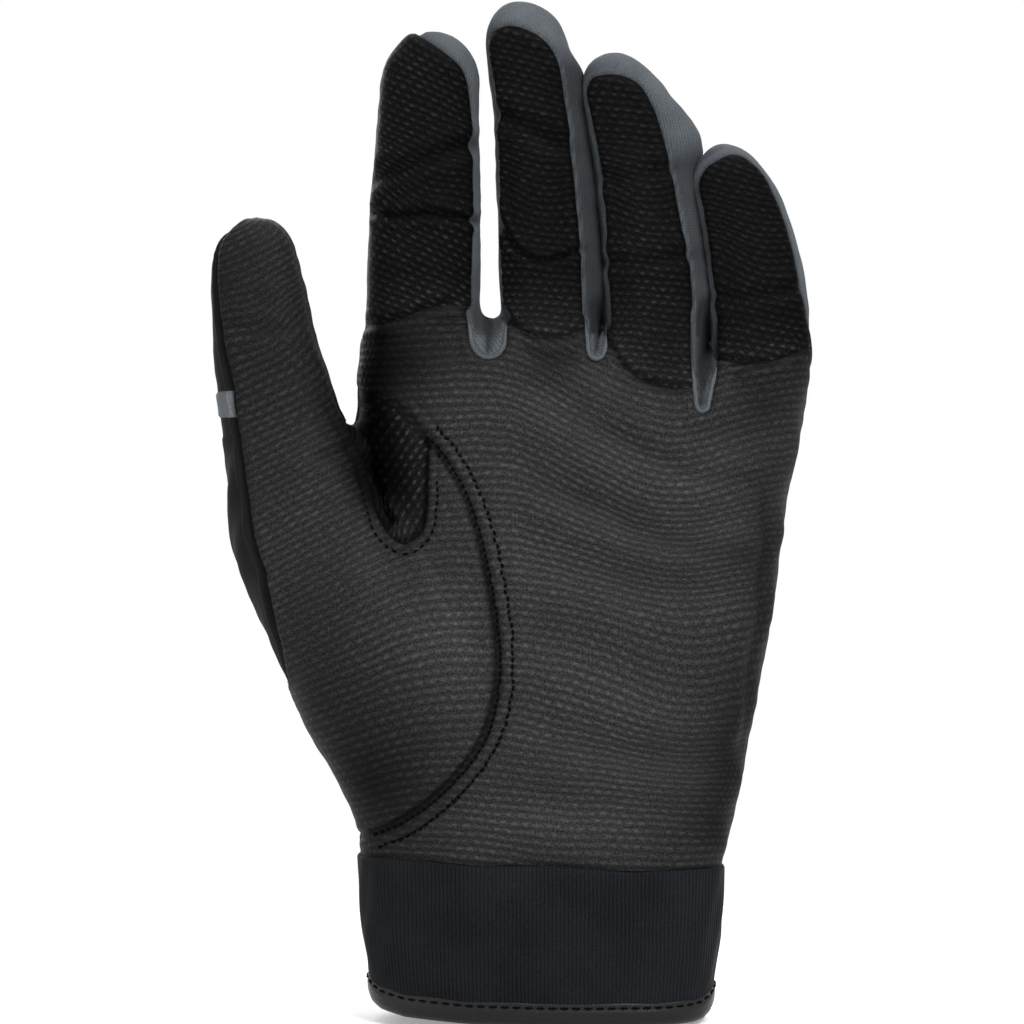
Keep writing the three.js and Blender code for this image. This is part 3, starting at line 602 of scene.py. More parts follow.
def above_base(name, p, owner):
    """How far above the base line of a finger or the thumb a point is, and below zero off it."""
    if name == "thumb":
        return np.where(on_thumb(p), p[:, 2] - THUMB_BASE, OFF_DIGIT)
    front = 1 - smooth(np.abs(turn_of(name, p)), *FRONT_ANGLES)
    line = lerp(FOLDS[name]["hinge"], table(BASE_LINES[name], seen(p)[0]), front)
    return np.where((owner == FINGERS.index(name)) & ~on_thumb(p), p[:, 2] - line, OFF_DIGIT)


def degree_reach(digit, p):
    """How far a degree round a digit is on its skin."""
    _, _, hw, hd, _ = section(digit, p[:, 2])
    return np.radians(1) * (hw + hd) / 2


def edge_field(name, p):
    """How far inside a finger's leather a point lies."""
    edge, turn, reach = LEATHER[name], turn_of(name, p), degree_reach(name, p)
    left = (turn - table(edge["left"], p[:, 2])) * reach
    right = (table(edge["right"], p[:, 2]) - turn) * reach
    return soft_min(soft_min(left, right, 2), -line_side(edge["top"], *seen(p)), 4)


def back_field(name, p):
    """How far inside a digit's back fabric a point lies."""
    _, cy, _, hd, _ = section(name, p[:, 2])
    return p[:, 1] - cy - BACK_SHARE[name] * hd


def thumb_left(p):
    """How far a point lies inside the outer edge of the thumb's leather."""
    return (turn_of("thumb", p) - table(THUMB_EDGE, p[:, 2])) * degree_reach("thumb", p)


def thumb_field(p):
    """How far inside the thumb's leather a point lies."""
    return soft_min(thumb_left(p), (THUMB_INNER_EDGE - turn_of("thumb", p)) * degree_reach("thumb", p), 2)


def open_base(name, p):
    """A finger's leather field, wide open below the finger's base."""
    hinge = FOLDS[name]["hinge"]
    return edge_field(name, p) + WIDE_OPEN * (1 - smooth(p[:, 2], hinge - 11, hinge - 2))


def less_pockets(field, p):
    """A leather field without the mouths of the pockets between the fingers."""
    x, z = seen(p)
    for web in POCKETS:
        field = soft_min(field, pocket(web, x, z) + WIDE_OPEN * smooth(p[:, 2], *POCKET_TOP), 1)
    return field


def leather_of(name, p):
    """The leather field of a finger, with the pockets' mouths at its foot."""
    return less_pockets(open_base(name, p), p)


def hand_field(p):
    """How far inside the palm side's leather a point of the hand lies."""
    x, y, z = p.T
    tx, ty, tw, _, _ = section("thumb", z)
    parting = lerp(ty + THUMB_PARTING, HAND_PARTING, smooth(x, *BESIDE_THUMB)) - cup(x, z)
    by_thumb = smooth((tx - x) / tw, *THUMB_SHARES) * (1 - smooth(z, *THUMB_LEATHER_TOP))
    field = soft_min(parting - y, lerp(FAR_INSIDE, thumb_left(p), by_thumb), 2)
    owner = owner_of(p)
    for i, name in enumerate(FINGERS):
        mine = (owner == i) & (z > FOLDS[name]["hinge"] - 12) & ~on_thumb(p)
        field = np.where(mine, soft_min(field, open_base(name, p), 2), field)
    return less_pockets(field, p)


def seam_side(line, p):
    return line_side(line, *seen(p))


# Folds and grooves on the skin
FINGER_FOOT = 158

# Where the bare skin's valleys are drawn together: heights and widths between which a patch comes and goes,
# and the X, the Z and the radius of two patches in the thumb's crotch
KNUCKLE_HEIGHTS = (126, 144, 166, 172)
KNUCKLE_WIDTHS = (-48, -42)
BALL_HEIGHTS = (38, 46, 118, 136)
BALL_WIDTHS = (-40, -28, 2, 14)
CROTCH_PATCH = (-43, 128, 18)
CROTCH_FOOT = (-44, 137, 9)

# Creases fade over this share of their length, and their ridges lie at these shares of their half width
CREASE_END = 0.06
RIDGE_PLACE = 2.1
RIDGE_HALF = 1.1

# Heights over which the thumb's seams end and its shade turns paler, and below which the back's seams show
SEAM_TOP = (138, 147)
SEAM_PALER = (95, 125)
BACK_SEAM_TOP = 152

# Half width of the ribs over a knuckle, and the angles at which a digit's joint ribs start
KNUCKLE_HALF = 8.6
JOINT_ANGLES = (128, 146)

# Long waves on the palm: height, length, and where they start and end. Gathers: their height and half height
PALM_WAVE = 0.6
PALM_WAVE_LENGTH = 19
PALM_WAVE_START = (-14, 4)
PALM_WAVE_TOP = (140, 156)
GATHER = (45, 5)
CUFF_FOLD = (36.6, 2)

# Heights and depths over which the pockets between the fingers run out
POCKET_FADE = (160, 168)
POCKET_DEPTHS = (-1, 5)


def patch(x, z, middle_x, middle_z, radius):
    return bump(np.hypot(x - middle_x, z - middle_z), radius)


def row_line(p):
    """The height at which a row of the palm's embossing would lie if it ran level."""
    x, z = p[:, 0], p[:, 2]
    return z + along(ROW_DROP, x)[:, 1] * along(ROW_SHARE, z)[:, 1] + 0.9 * np.sin(x / 9 + z / 24)


def painted_leather_lighting(p, owner):
    """How much painted light and shade the leather gets at each point, from 0 to 1; its colour is multiplied
    by it.
    """
    x, z = seen(p)
    painted_lighting = np.full(len(p), PALM_PAINTED_LIGHTING)
    for cx, cz, wide, high, change in PAINTED_LIGHTING_PATCHES:
        painted_lighting += change * bump(x - cx, wide) * bump(z - cz, high)
    thumb = on_thumb(p)
    for i, name in enumerate(FINGERS):
        hinge = FOLDS[name]["hinge"]
        # Painted shade: each finger darker beyond its base, and lighter on its thumb's side than on its
        # little finger's side
        up = smooth(p[:, 2], hinge - 18, hinge + 8)
        lean = 1 - FINGER_PAINTED_SIDE_SHADE * up * np.sin(angle_round(name, p))
        painted_lighting = np.where((owner == i) & ~thumb, painted_lighting * lean * lerp(1, FINGER_PAINTED_SHADE, up), painted_lighting)
    # Painted shade: the thumb darker higher up
    painted_lighting = np.where(thumb, painted_lighting * lerp(1, THUMB_PAINTED_SHADE, smooth(p[:, 2], 100, 150)), painted_lighting)
    return np.clip(painted_lighting, 0.04, 1)


def smooth_hand():
    """The bare skin with its valleys drawn together: points, quads, triangles and edges."""
    v, quads, tris = make_skin()
    edges = np.unique(np.sort(face_edges(quads, tris), axis=1), axis=0)
    x, _, z = v.T
    knuckles = window(z, *KNUCKLE_HEIGHTS) * smooth(x, *KNUCKLE_WIDTHS)
    crotch = patch(x, z, *CROTCH_PATCH)
    ball = window(z, *BALL_HEIGHTS) * window(x, *BALL_WIDTHS)
    v = relax(v, edges, np.full(len(v), 0.5), 5)
    v = relax(v, edges, 0.5 * np.clip(0.8 * knuckles + crotch + ball, 0, 1), 26)
    v = relax(v, edges, 0.5 * ball, 90)
    v = relax(v, edges, 0.5 * patch(x, z, *CROTCH_FOOT), 60)
    v = v + SWELL * corner_normals(v, quads, tris)
    return relax(v, edges, np.full(len(v), 0.3), 3), quads, tris, edges


def crease_relief(sx, sz, front):
    """Creases, each with a ridge on both sides, and painted shade in their grooves."""
    out, shade = np.zeros(len(sx)), np.zeros(len(sx))
    for line, depth, half, ridge in CREASES:
        gap, _, run = to_line(line, sx, sz)
        ends = smooth(run, 0, CREASE_END) * smooth(1 - run, 0, CREASE_END)
        groove = bump(gap, half) * front * lerp(0.5, 1, ends)
        beside = bump(gap - RIDGE_PLACE * half, RIDGE_HALF * half)
        out += ridge * beside * front * ends - depth * groove
        shade += 0.5 * min(1, depth) * groove
    return out, shade


def edge_relief(rest, owner, thumb):
    """Grooves along the leather's edges with painted shade in them, painted shade on finger sides facing a
    gap, and the swelling of the grey finger sides.
    """
    z = rest[:, 2]
    out, shade = np.zeros(len(rest)), np.zeros(len(rest))
    for i, name in enumerate(FINGERS):
        mine = (owner == i) & (z > FINGER_FOOT) & ~thumb
        p = rest[mine]
        edge, back, turn = leather_of(name, p), back_field(name, p), angle_round(name, p)
        side, bare = 1 - smooth(back, -0.6, 0.2), edge < 0
        out[mine] += side * relief(edge, LEATHER_EDGE) + bare * relief(back, BACK_EDGE)
        shade[mine] += side * 0.9 * bump(edge, np.where(bare, 0.35, 0.7)) + bare * 0.6 * bump(back, 0.6)
        for way, top, rim, dark in TUNNELS[name]:
            round_it = (turn * way > 0) * (1 - smooth(turn * way, 2.3, 3.05))
            deep = bare * smooth(-edge, rim, rim + 0.7) * (1 - smooth(p[:, 2], top - 8, top))
            shade[mine] += dark * deep * round_it
    on_hand = (~thumb | (z < THUMB_BASE)) & (z <= FINGER_FOOT)
    for mine, field in ((on_hand, hand_field(rest)), (thumb & (z >= THUMB_BASE), thumb_field(rest))):
        ridge = relief(field, HAND_RIDGE) * np.where(thumb, 1, 1 - smooth(z, 140, 150))
        out[mine] += (relief(field, HAND_EDGE) + ridge)[mine]
        shade[mine] += 0.9 * bump(field, 0.7)[mine]
    for name, sides in SWELLS.items():
        mine = (owner == FINGERS.index(name)) & ~thumb
        turn = turn_of(name, rest[mine])
        for middle, height, half, low, high in sides:
            out[mine] += height * window(z[mine], low, low + 6, high - 8, high) * bump(turn - middle, half)
    return out, shade


def seam_relief(rest, sx, sz, front):
    """The double seam round the ball of the thumb, and the rolled edge of the crotch, with painted shade in
    their grooves.
    """
    z = rest[:, 2]
    across, into = line_side(THENAR_SEAM, sx, sz), line_side(CROTCH_SEAM, sx, sz)
    on_front = front * (1 - smooth(z, *SEAM_TOP))
    below = on_front * (across < 1)
    out = on_front * relief(across, THENAR_WAVES) + below * relief(into, CROTCH_WAVES)
    shade = on_front * relief(across, THENAR_SHADE) * lerp(1, 0.6, smooth(z, *SEAM_PALER))
    return out, shade + below * relief(into, CROTCH_SHADE)


def back_relief(rest, sx, sz, back, owner, thumb):
    """Seams and flexing ribs on the back of the hand, with painted shade in their grooves."""
    x, _, z = rest.T
    up = line_side(KNUCKLE_SEAM, sx, sz)
    off_thumb = back * ~thumb
    out = off_thumb * relief(np.abs(up), KNUCKLE_WAVES)
    shade = off_thumb * 0.8 * bump(np.abs(up) - 1.6, 0.6)
    knuckle = off_thumb * np.max([bump(x - DIGITS[d][2][1], KNUCKLE_HALF) for d in FINGERS], axis=0)
    grooves = relief(up, KNUCKLE_GROOVES)
    out += knuckle * (relief(up, KNUCKLE_RIBS) - 0.3 * grooves)
    shade += knuckle * 0.5 * grooves
    below = back * (up < -3) * (z < BACK_SEAM_TOP)
    for line in BACK_SEAMS + [THUMB_BACK_SEAM]:
        gap, _, _ = to_line(line, sx, sz)
        out += below * relief(gap, BACK_SEAM_WAVES)
        shade += below * 0.9 * bump(gap, 0.6)
    for name in DIGITS:
        mine = thumb if name == "thumb" else (owner == FINGERS.index(name)) & ~thumb
        on_top = mine * smooth(np.abs(turn_of(name, rest)), *JOINT_ANGLES)
        from_bend = z - sum(FOLDS[name]["bend"]) / 2
        grooves = relief(from_bend, JOINT_GROOVES)
        out += on_top * (relief(from_bend, JOINT_RIBS) - 0.25 * grooves)
        shade += on_top * 0.4 * grooves
    return out, shade


def soft_relief(rest, front, thumb):
    """Long waves along the palm's rows, small ones all over, gathers above the cuff, folds at the thumb."""
    x, y, z = rest.T
    flat = (~thumb | (z < THUMB_BASE)) * (1 - smooth(z, *PALM_WAVE_TOP)) * front
    turn = 2 * np.pi * row_line(rest) / PALM_WAVE_LENGTH + 0.8 * np.sin(x / 17)
    out = PALM_WAVE * flat * np.sin(turn) * smooth(x, *PALM_WAVE_START)
    out += 0.15 * ripple(rest, 16, 3) + 0.07 * ripple(rest, 7, 5)
    out += bump(z - GATHER[0], GATHER[1]) * (0.7 + 0.5 * np.sin(x / 4.6 + 1)) * front
    out -= 0.35 * bump(z - CUFF_FOLD[0], CUFF_FOLD[1])
    stretch = thumb & (thumb_field(rest) < -1) & (z < 134)
    return out + np.where(stretch, 0.28 * np.sin((z + 1.4 * y) / 2.6), 0) * smooth(z, 76, 84)


def carved(rest, sx, sz, front):
    """How far the pockets between the fingers and the valley of the thumb's crotch go in, and their painted
    shade.
    """
    _, y, z = rest.T
    gap, way, run = to_line(CROTCH_VALLEY, sx, sz)
    wide = lerp(3.6, 1.7, smooth(run, 0.3, 0.9))
    carve = lerp(3.0, 5.0, smooth(run, 0.3, 0.8)) * bump(gap, wide) * front * smooth(1 - run, 0, 0.06)
    shade = smooth(carve, 1.0, 3.2)
    carve -= 0.5 * bump(way * gap - 3.6, 0.9) * front * smooth(run, 0.5, 0.8)
    fade = (1 - smooth(z, *POCKET_FADE)) * smooth(-y, *POCKET_DEPTHS)
    for name, w in POCKETS.items():
        inside, above, off_middle = -pocket(name, sx, sz), sz - w["foot"], sx - w["x"][0]
        deep = w["depth"] * smooth(inside, 0.5, w["half"][1]) * smooth(above, 1, 9)
        rolled = 0.6 * bump(inside - 0.8, 0.7) * window(above, -1, 1, 3, 7)
        tuck = 1.2 * bump(off_middle, 1.0) * window(above, 0.5, 2, 4, 8)
        carve = np.maximum(carve, (deep + tuck) * fade) - rolled * fade
        wall = lerp(2.4, 1.2, smooth(above, 3, 7))
        shade += fade * (0.55 * smooth((inside - 0.6) / (wall - 0.6), 0, 1) * smooth(above, 3, 8)
                         + bump(off_middle, 0.8) * smooth(above, 0.8, 2) * (inside > 0))
    return carve, shade


def sculpt():
    """The skin with all its relief: rest place, place, normal, painted shade, painted light and shade on the
    leather of each point, and how far above the base of each digit it lies."""
    rest, quads, tris, edges = smooth_hand()
    normal = corner_normals(rest, quads, tris)
    sx, sz = seen(rest)
    front = smooth(-normal[:, 1], -0.15, 0.35)
    back = smooth(normal[:, 1], 0.0, 0.4)
    owner = owner_of(rest)
    thumb = on_thumb(rest)
    out = soft_relief(rest, front, thumb)
    shade = np.zeros(len(rest))
    for more_out, more_shade in (crease_relief(sx, sz, front), edge_relief(rest, owner, thumb),
                                 seam_relief(rest, sx, sz, front),
                                 back_relief(rest, sx, sz, back, owner, thumb)):
        out += more_out
        shade += more_shade
    v = rest + normal * out[:, None]
    carve, more_shade = carved(rest, sx, sz, front)
    shade += more_shade
    v[:, 1] += carve
    v = relax(v, edges, 0.4 * smooth(carve, 0.2, 2), 3)
    # Painted shade along the top edge of the cuff
    shade += 0.9 * bump(rest[:, 2] - cuff_top(rest[:, 0]), 0.9)
    bases = [above_base(name, rest, owner) for name in DIGITS]
    data = np.column_stack([rest, v, corner_normals(v, quads, tris), np.clip(shade, 0, 1),
                            painted_leather_lighting(rest, owner)] + bases)
    return data, quads, tris


# Making pieces
THICKNESS = 1.0
LEATHER_LIFT = 0.35
COVER_LIFT = 0.1
BAND_LIFT = 0.5
NO_TRIS = np.zeros((0, 3), int)


def link(obj):
    bpy.context.scene.collection.objects.link(obj)
    return obj


def raw_mesh(name, points, quads, uv, tris=NO_TRIS, normals=None, values=None, flat=None):
    """A mesh from arrays: points in millimetres and UVs, then optional corner normals, point values and faces
    that stay flat."""
    mesh = bpy.data.meshes.new(name)
    corners = np.r_[quads.ravel(), tris.ravel()].astype(np.int32)
    mesh.vertices.add(len(points))
    mesh.vertices.foreach_set("co", (points * METRE).astype(np.float32).ravel())
    mesh.loops.add(len(corners))
    mesh.loops.foreach_set("vertex_index", corners)
    starts = np.r_[np.arange(len(quads)) * 4, len(quads) * 4 + np.arange(len(tris)) * 3].astype(np.int32)
    mesh.polygons.add(len(starts))
    mesh.polygons.foreach_set("loop_start", starts)
    mesh.update(calc_edges=True)
    mesh.uv_layers.new(name="rest").data.foreach_set("uv", uv[corners].astype(np.float32).ravel())
    for key, value in (values or {}).items():
        mesh.attributes.new(key, "FLOAT", "POINT").data.foreach_set("value", value.astype(np.float32))
    mesh.polygons.foreach_set("use_smooth", np.ones(len(starts), bool) if flat is None else ~flat)
    if normals is not None:
        loop_normals = normals[corners]
        loop_normals[np.r_[np.repeat(flat[:len(quads)], 4), np.repeat(flat[len(quads):], 3)]] = 0
        mesh.normals_split_custom_set(loop_normals.tolist())
    return mesh


def piece(name, mesh, finish, nodes=()):
    """Puts a mesh into the scene with its finish, in place of CAD nodes if any are named."""
    obj = link(bpy.data.objects.new(name, mesh))
    mesh.materials.append(finish)
    if nodes:
        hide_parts(*nodes)
    return obj


def border(quads, tris):
    """The edges that only one face has, in that face's direction."""
    pairs = face_edges(quads, tris)
    _, first, count = np.unique(np.sort(pairs, axis=1), axis=0, return_index=True, return_counts=True)
    return pairs[first[count == 1]]


def panel(name, sheet, finish, nodes, flat_place, lift=0.0, edge=None):
    """A panel of the skin as a piece with thickness, in place of CAD nodes. Where an edge field is given, the
    panel is lifted away from that edge."""
    data, quads, tris = sheet
    n = len(data)
    normal = data[:, NORMAL] / np.linalg.norm(data[:, NORMAL], axis=1)[:, None]
    outer = data[:, PLACE]
    if edge:
        outer = outer + normal * (lift * smooth(edge(data[:, REST]), -0.1, 0.8))[:, None]
    rim = border(quads, tris)
    wall = np.column_stack([rim[:, 1], rim[:, 0], rim[:, 0] + n, rim[:, 1] + n])
    all_quads = np.concatenate([quads, quads[:, ::-1] + n, wall])
    all_tris = np.concatenate([tris, tris[:, ::-1] + n])
    flat = np.zeros(len(all_quads) + len(all_tris), bool)
    flat[2 * len(quads): len(all_quads)] = True
    # Painted shade, and painted light and shade on the leather, carried by each point for the finishes
    values = {"shade": np.tile(data[:, SHADE], 2), "painted_lighting": np.tile(data[:, PAINTED_LIGHTING], 2)}
    uv = np.tile(flat_place(data[:, REST]), (2, 1))
    mesh = raw_mesh(name, np.r_[outer, outer - normal * THICKNESS], all_quads, uv, all_tris,
                    np.r_[normal, -normal], values, flat)
    return piece(name, mesh, finish, nodes)


# Finishes
class Nodes:
    """A node tree, with short ways to add nodes."""

    def __init__(self, tree):
        self.tree = tree

    def node(self, kind, settings=None, **inputs):
        made = self.tree.nodes.new(kind)
        for key, value in (settings or {}).items():
            setattr(made, key, value)
        for key, value in inputs.items():
            self.feed(made.inputs[key.replace("_", " ")], value)
        return made

    def feed(self, socket, value):
        if isinstance(value, bpy.types.NodeSocket):
            self.tree.links.new(value, socket)
        else:
            socket.default_value = value

    def math(self, kind, *values):
        made = self.node("ShaderNodeMath", {"operation": kind})
        for socket, value in zip(made.inputs, values):
            self.feed(socket, value)
        return made.outputs[0]

    def add(self, *terms):
        return reduce(lambda a, b: self.math("ADD", a, b), terms)

    def times(self, *terms):
        return reduce(lambda a, b: self.math("MULTIPLY", a, b), terms)

    def camera_rays(self):
        """1 for rays from the camera, straight, by a mirror or through glass, and 0 for all others."""
        rays = self.node("ShaderNodeLightPath").outputs
        bent = self.math("MAXIMUM", rays["Is Glossy Ray"], rays["Is Transmission Ray"])
        return self.math("MAXIMUM", rays["Is Camera Ray"], bent)

    def show(self, output, share, a, b):
        """Ends the tree with a blend of two shaders."""
        blend = self.node("ShaderNodeMixShader")
        for socket, value in zip(blend.inputs, (share, a.outputs[0], b.outputs[0])):
            self.feed(socket, value)
        self.feed(self.tree.nodes[output].inputs[0], blend.outputs[0])


class Finish(Nodes):
    """A material."""

    def __init__(self, name):
        self.material = bpy.data.materials.new(name)
        self.material.use_nodes = True
        super().__init__(self.material.node_tree)
        self.shader = self.tree.nodes["Principled BSDF"]

    def ease(self, value, low, high, start=0.0, end=1.0):
        made = self.node("ShaderNodeMapRange", {"interpolation_type": "SMOOTHSTEP"}, Value=value,
                         From_Min=low, From_Max=high, To_Min=start, To_Max=end)
        return made.outputs[0]

    def rest(self):
        """The piece's flat coordinates, in millimetres: across, along, and both as a vector."""
        uv = self.node("ShaderNodeUVMap", {"uv_map": "rest"}).outputs[0]
        split = self.node("ShaderNodeSeparateXYZ", Vector=uv)
        return split.outputs[0], split.outputs[1], uv

    def value(self, name):
        return self.node("ShaderNodeAttribute", {"attribute_name": name}).outputs["Fac"]

    def place(self):
        """The point on the piece in its own metres, turned to millimetres."""
        raw = self.node("ShaderNodeTexCoord").outputs["Object"]
        return self.node("ShaderNodeVectorMath", {"operation": "SCALE"}, Vector=raw, Scale=1000.0).outputs[0]

    def noise(self, where, size, detail=2.0, rough=0.5):
        made = self.node("ShaderNodeTexNoise", Vector=where, Scale=1.0 / size, Detail=detail, Roughness=rough)
        return made.outputs["Fac"]

    def mix(self, share, a, b):
        made = self.tree.nodes.new("ShaderNodeMix")
        made.data_type = "RGBA"
        self.feed(made.inputs[0], share)
        self.feed(made.inputs[6], a)
        self.feed(made.inputs[7], b)
        return made.outputs[2]

    def drift(self, where, size, amount):
        """A distance that wanders by up to half an amount either way."""
        return self.times(self.math("SUBTRACT", self.noise(where, size), 0.5), amount)

    def wave(self, value, pitch):
        return self.math("SINE", self.times(value, 2 * math.pi / pitch))

    def staggered(self, u, v, wide, high):
        """Distances from the middle of a cell, across and along, where every other row is half a cell on."""
        def away(cells, pitch):
            centred = self.math("SUBTRACT", self.math("FRACT", cells), 0.5)
            return self.times(self.math("ABSOLUTE", centred), pitch)

        row = self.math("DIVIDE", v, high)
        odd = self.math("MODULO", self.math("ABSOLUTE", self.math("FLOOR", row)), 2.0)
        return away(self.add(self.math("DIVIDE", u, wide), self.times(odd, 0.5)), wide), away(row, high)

    def far(self, a, b):
        return self.math("SQRT", self.add(self.times(a, a), self.times(b, b)))

    def shaded(self, colour, amount, deep):
        """A colour with painted shade, darker in creases and gaps."""
        return self.mix(self.times(self.value("shade"), amount), colour, deep)

    def done(self, colour, roughness, height, strength, specular, sheen=0.0):
        s = self.shader.inputs
        self.feed(s["Base Color"], colour)
        self.feed(s["Roughness"], roughness)
        s["Sheen Weight"].default_value = sheen
        s["Sheen Roughness"].default_value = 0.4
        s["Specular IOR Level"].default_value = specular
        raised = self.node("ShaderNodeBump", Height=height, Strength=strength, Distance=METRE)
        self.feed(s["Normal"], raised.outputs[0])
        return self.material


def grey(level, blue=0.0):
    """A grey written as it shows on screen, from 0 to 1, as linear light."""
    def linear(c):
        return c / 12.92 if c <= 0.04045 else ((c + 0.055) / 1.055) ** 2.4
    return (linear(level - blue), linear(level), linear(level + blue), 1)


def scaled(colour, share):
    return tuple(share * c for c in colour[:3]) + (1,)


# Pitch of the rows of dashes, and of the dashes in a row
PALM_PITCH = (1.8, 2.5)
FINGER_PITCH = (1.55, 2.2)
DASH_HALF = 0.26


def embossed_leather(name, dark, light, specular, highlight_strength, pitch):
    """Leather with rows of short raised dashes, unevenly coloured at random, dull between the dashes. Each
    dash gets a painted highlight towards the light colour, as strong as the argument before the pitch says."""
    row_pitch, dash_pitch = pitch
    f = Finish(name)
    u, v, uv = f.rest()
    where = f.place()
    shift = f.drift(uv, 1.3, 1.1)
    rows = f.add(v, f.drift(uv, 9.0, 1.2), f.times(shift, 0.5))
    du, dv = f.staggered(f.add(u, shift), rows, dash_pitch, row_pitch)
    past = f.math("MAXIMUM", f.math("SUBTRACT", du, DASH_HALF), 0.0)
    dash = f.ease(f.far(past, dv), 0.05, 0.38, 1.0, 0.0)
    in_row = f.ease(dv, 0.1, 0.78, 1.0, 0.0)
    in_dash = f.ease(du, 0.2, 1.15, 1.0, 0.0)
    uneven = f.ease(f.noise(uv, 1.6, 3.0), 0.36, 0.68)
    worn = f.ease(f.noise(where, 22.0, 3.0), 0.36, 0.68)
    swell = f.times(in_row, f.add(f.times(in_dash, 0.5), 0.5))
    grain = f.noise(where, 0.4, 3.0, 0.7)
    speck = f.ease(f.noise(uv, 0.45, 2.0, 0.85), 0.36, 0.64)
    # Painted glint: the dashes' painted highlight is stronger where the leather's painted light is high
    painted_glint = f.ease(f.value("painted_lighting"), 0.84, 1.0, 1.0, 2.6)
    # Painted highlight on the dashes' raised tops, stronger in random worn patches
    lighter = f.add(f.times(worn, 0.75 * highlight_strength), 0.3 * highlight_strength)
    dash_highlight = f.times(dash, f.add(f.times(uneven, 0.8), 0.2), lighter, painted_glint)
    # Painted light and shade of the embossing: brighter on the raised rows and dashes, darker between the
    # rows
    painted_swell_light = f.times(swell, f.add(f.times(uneven, 0.6), 0.45), f.add(f.times(worn, 0.35), 0.75))
    ground = f.add(f.times(painted_swell_light, 0.42), f.times(grain, 0.2), f.times(speck, 0.42))
    base = f.mix(f.ease(ground, 0.05, 0.95), scaled(dark, 0.35), scaled(dark, 2.1))
    # The painted light and shade on the leather scales the colour down towards black
    colour = f.mix(f.value("painted_lighting"), (0, 0, 0, 1), f.mix(dash_highlight, base, light))
    rough = f.add(0.42, f.times(grain, 0.25), f.times(dash_highlight, -0.1))
    height = f.add(f.times(swell, 0.16), f.times(dash, 0.06), f.times(grain, 0.08))
    return f.done(f.shaded(colour, 0.85, scaled(dark, 0.08)), rough, height, 0.9, specular)


def stretch_knit(name, dark, light, sheen, pitch=0.62):
    """Fine stretch fabric: upright wales crossed by loops."""
    f = Finish(name)
    u, v, uv = f.rest()
    where = f.place()
    wale = f.wave(f.add(u, f.drift(uv, 1.2, 0.25)), pitch)
    loop = f.math("SINE", f.add(f.times(v, 2 * math.pi / (0.8 * pitch)), f.times(wale, 0.9)))
    knit = f.add(f.times(wale, 0.5), f.times(loop, 0.5))
    fuzz = f.noise(where, 0.35, 3.0, 0.65)
    share = f.add(f.times(knit, 0.14), f.times(fuzz, 0.5), f.times(f.noise(where, 12.0, 3.0), 0.4))
    colour = f.shaded(f.mix(f.ease(share, 0.1, 0.85), dark, light), 0.85, scaled(dark, 0.16))
    height = f.add(f.times(knit, 0.035), f.times(fuzz, 0.06))
    return f.done(colour, f.add(0.72, f.times(fuzz, 0.2)), height, 0.8, 0.08, sheen)


def air_mesh(name, dark, light, pitch=1.9):
    """Stretch fabric with staggered rows of small holes."""
    f = Finish(name)
    u, v, _ = f.rest()
    where = f.place()
    solid = f.ease(f.far(*f.staggered(u, v, pitch, 0.87 * pitch)), 0.28, 0.6)
    fuzz = f.noise(where, 0.35, 3.0, 0.65)
    share = f.times(solid, f.add(f.times(fuzz, 0.6), f.times(f.noise(where, 14.0, 3.0), 0.4)))
    colour = f.shaded(f.mix(f.ease(share, 0.1, 0.75), dark, light), 0.8, scaled(dark, 0.3))
    height = f.add(f.times(solid, 0.22), f.times(fuzz, 0.05))
    return f.done(colour, f.add(0.7, f.times(fuzz, 0.2)), height, 0.9, 0.07, 0.02)


def ribbed_knit(name, dark, light, pitch):
    """Knitted fabric with upright ribs."""
    f = Finish(name)
    u, v, uv = f.rest()
    where = f.place()
    rib = f.wave(f.add(u, f.drift(uv, 4.0, 0.5)), pitch)
    loop = f.math("SINE", f.add(f.times(v, 2 * math.pi / 0.7), f.times(rib, 1.2)))
    fuzz = f.noise(where, 0.4, 3.0, 0.65)
    patches = f.noise(where, 18.0, 3.0)
    share = f.add(f.times(rib, 0.09), f.times(loop, 0.03), f.times(fuzz, 0.55), f.times(patches, 0.35))
    height = f.add(f.times(rib, 0.04), f.times(loop, 0.012), f.times(fuzz, 0.08))
    colour = f.mix(f.ease(share, 0.15, 0.85), dark, light)
    return f.done(colour, f.add(0.75, f.times(fuzz, 0.2)), height, 0.8, 0.06, 0.03)


def woven_tape(name, dark, light, pitch=0.8):
    f = Finish(name)
    u, v, _ = f.rest()
    weave = f.times(f.wave(u, pitch), f.wave(v, pitch))
    fuzz = f.noise(f.place(), 0.4, 2.0)
    colour = f.mix(f.ease(f.add(f.times(weave, 0.2), fuzz), 0.3, 0.8), dark, light)
    height = f.add(f.times(weave, 0.03), f.times(fuzz, 0.04))
    return f.done(colour, f.add(0.26, f.times(fuzz, 0.2)), height, 0.8, 0.22)


def twisted_thread(name, dark, light):
    f = Finish(name)
    u, v, _ = f.rest()
    twist = f.wave(f.add(u, f.times(v, 1.6)), 0.42)
    return f.done(f.mix(f.ease(twist, -1.0, 1.0), dark, light), 0.5, f.times(twist, 0.03), 0.8, 0.02)


def hook_and_loop(name, dark, light):
    f = Finish(name)
    where = f.place()
    hairs = f.noise(where, 0.28, 4.0, 0.75)
    tufts = f.times(f.node("ShaderNodeTexVoronoi", Vector=where, Scale=1.1).outputs["Distance"], -0.25)
    colour = f.mix(f.ease(f.add(hairs, tufts), 0.2, 0.7), dark, light)
    return f.done(colour, 0.9, f.add(f.times(hairs, 0.3), tufts), 1.0, 0.06, 0.05)


LEATHER_FINISH = embossed_leather("black_leather", grey(0.19), grey(0.42), 0.04, 0.2, PALM_PITCH)
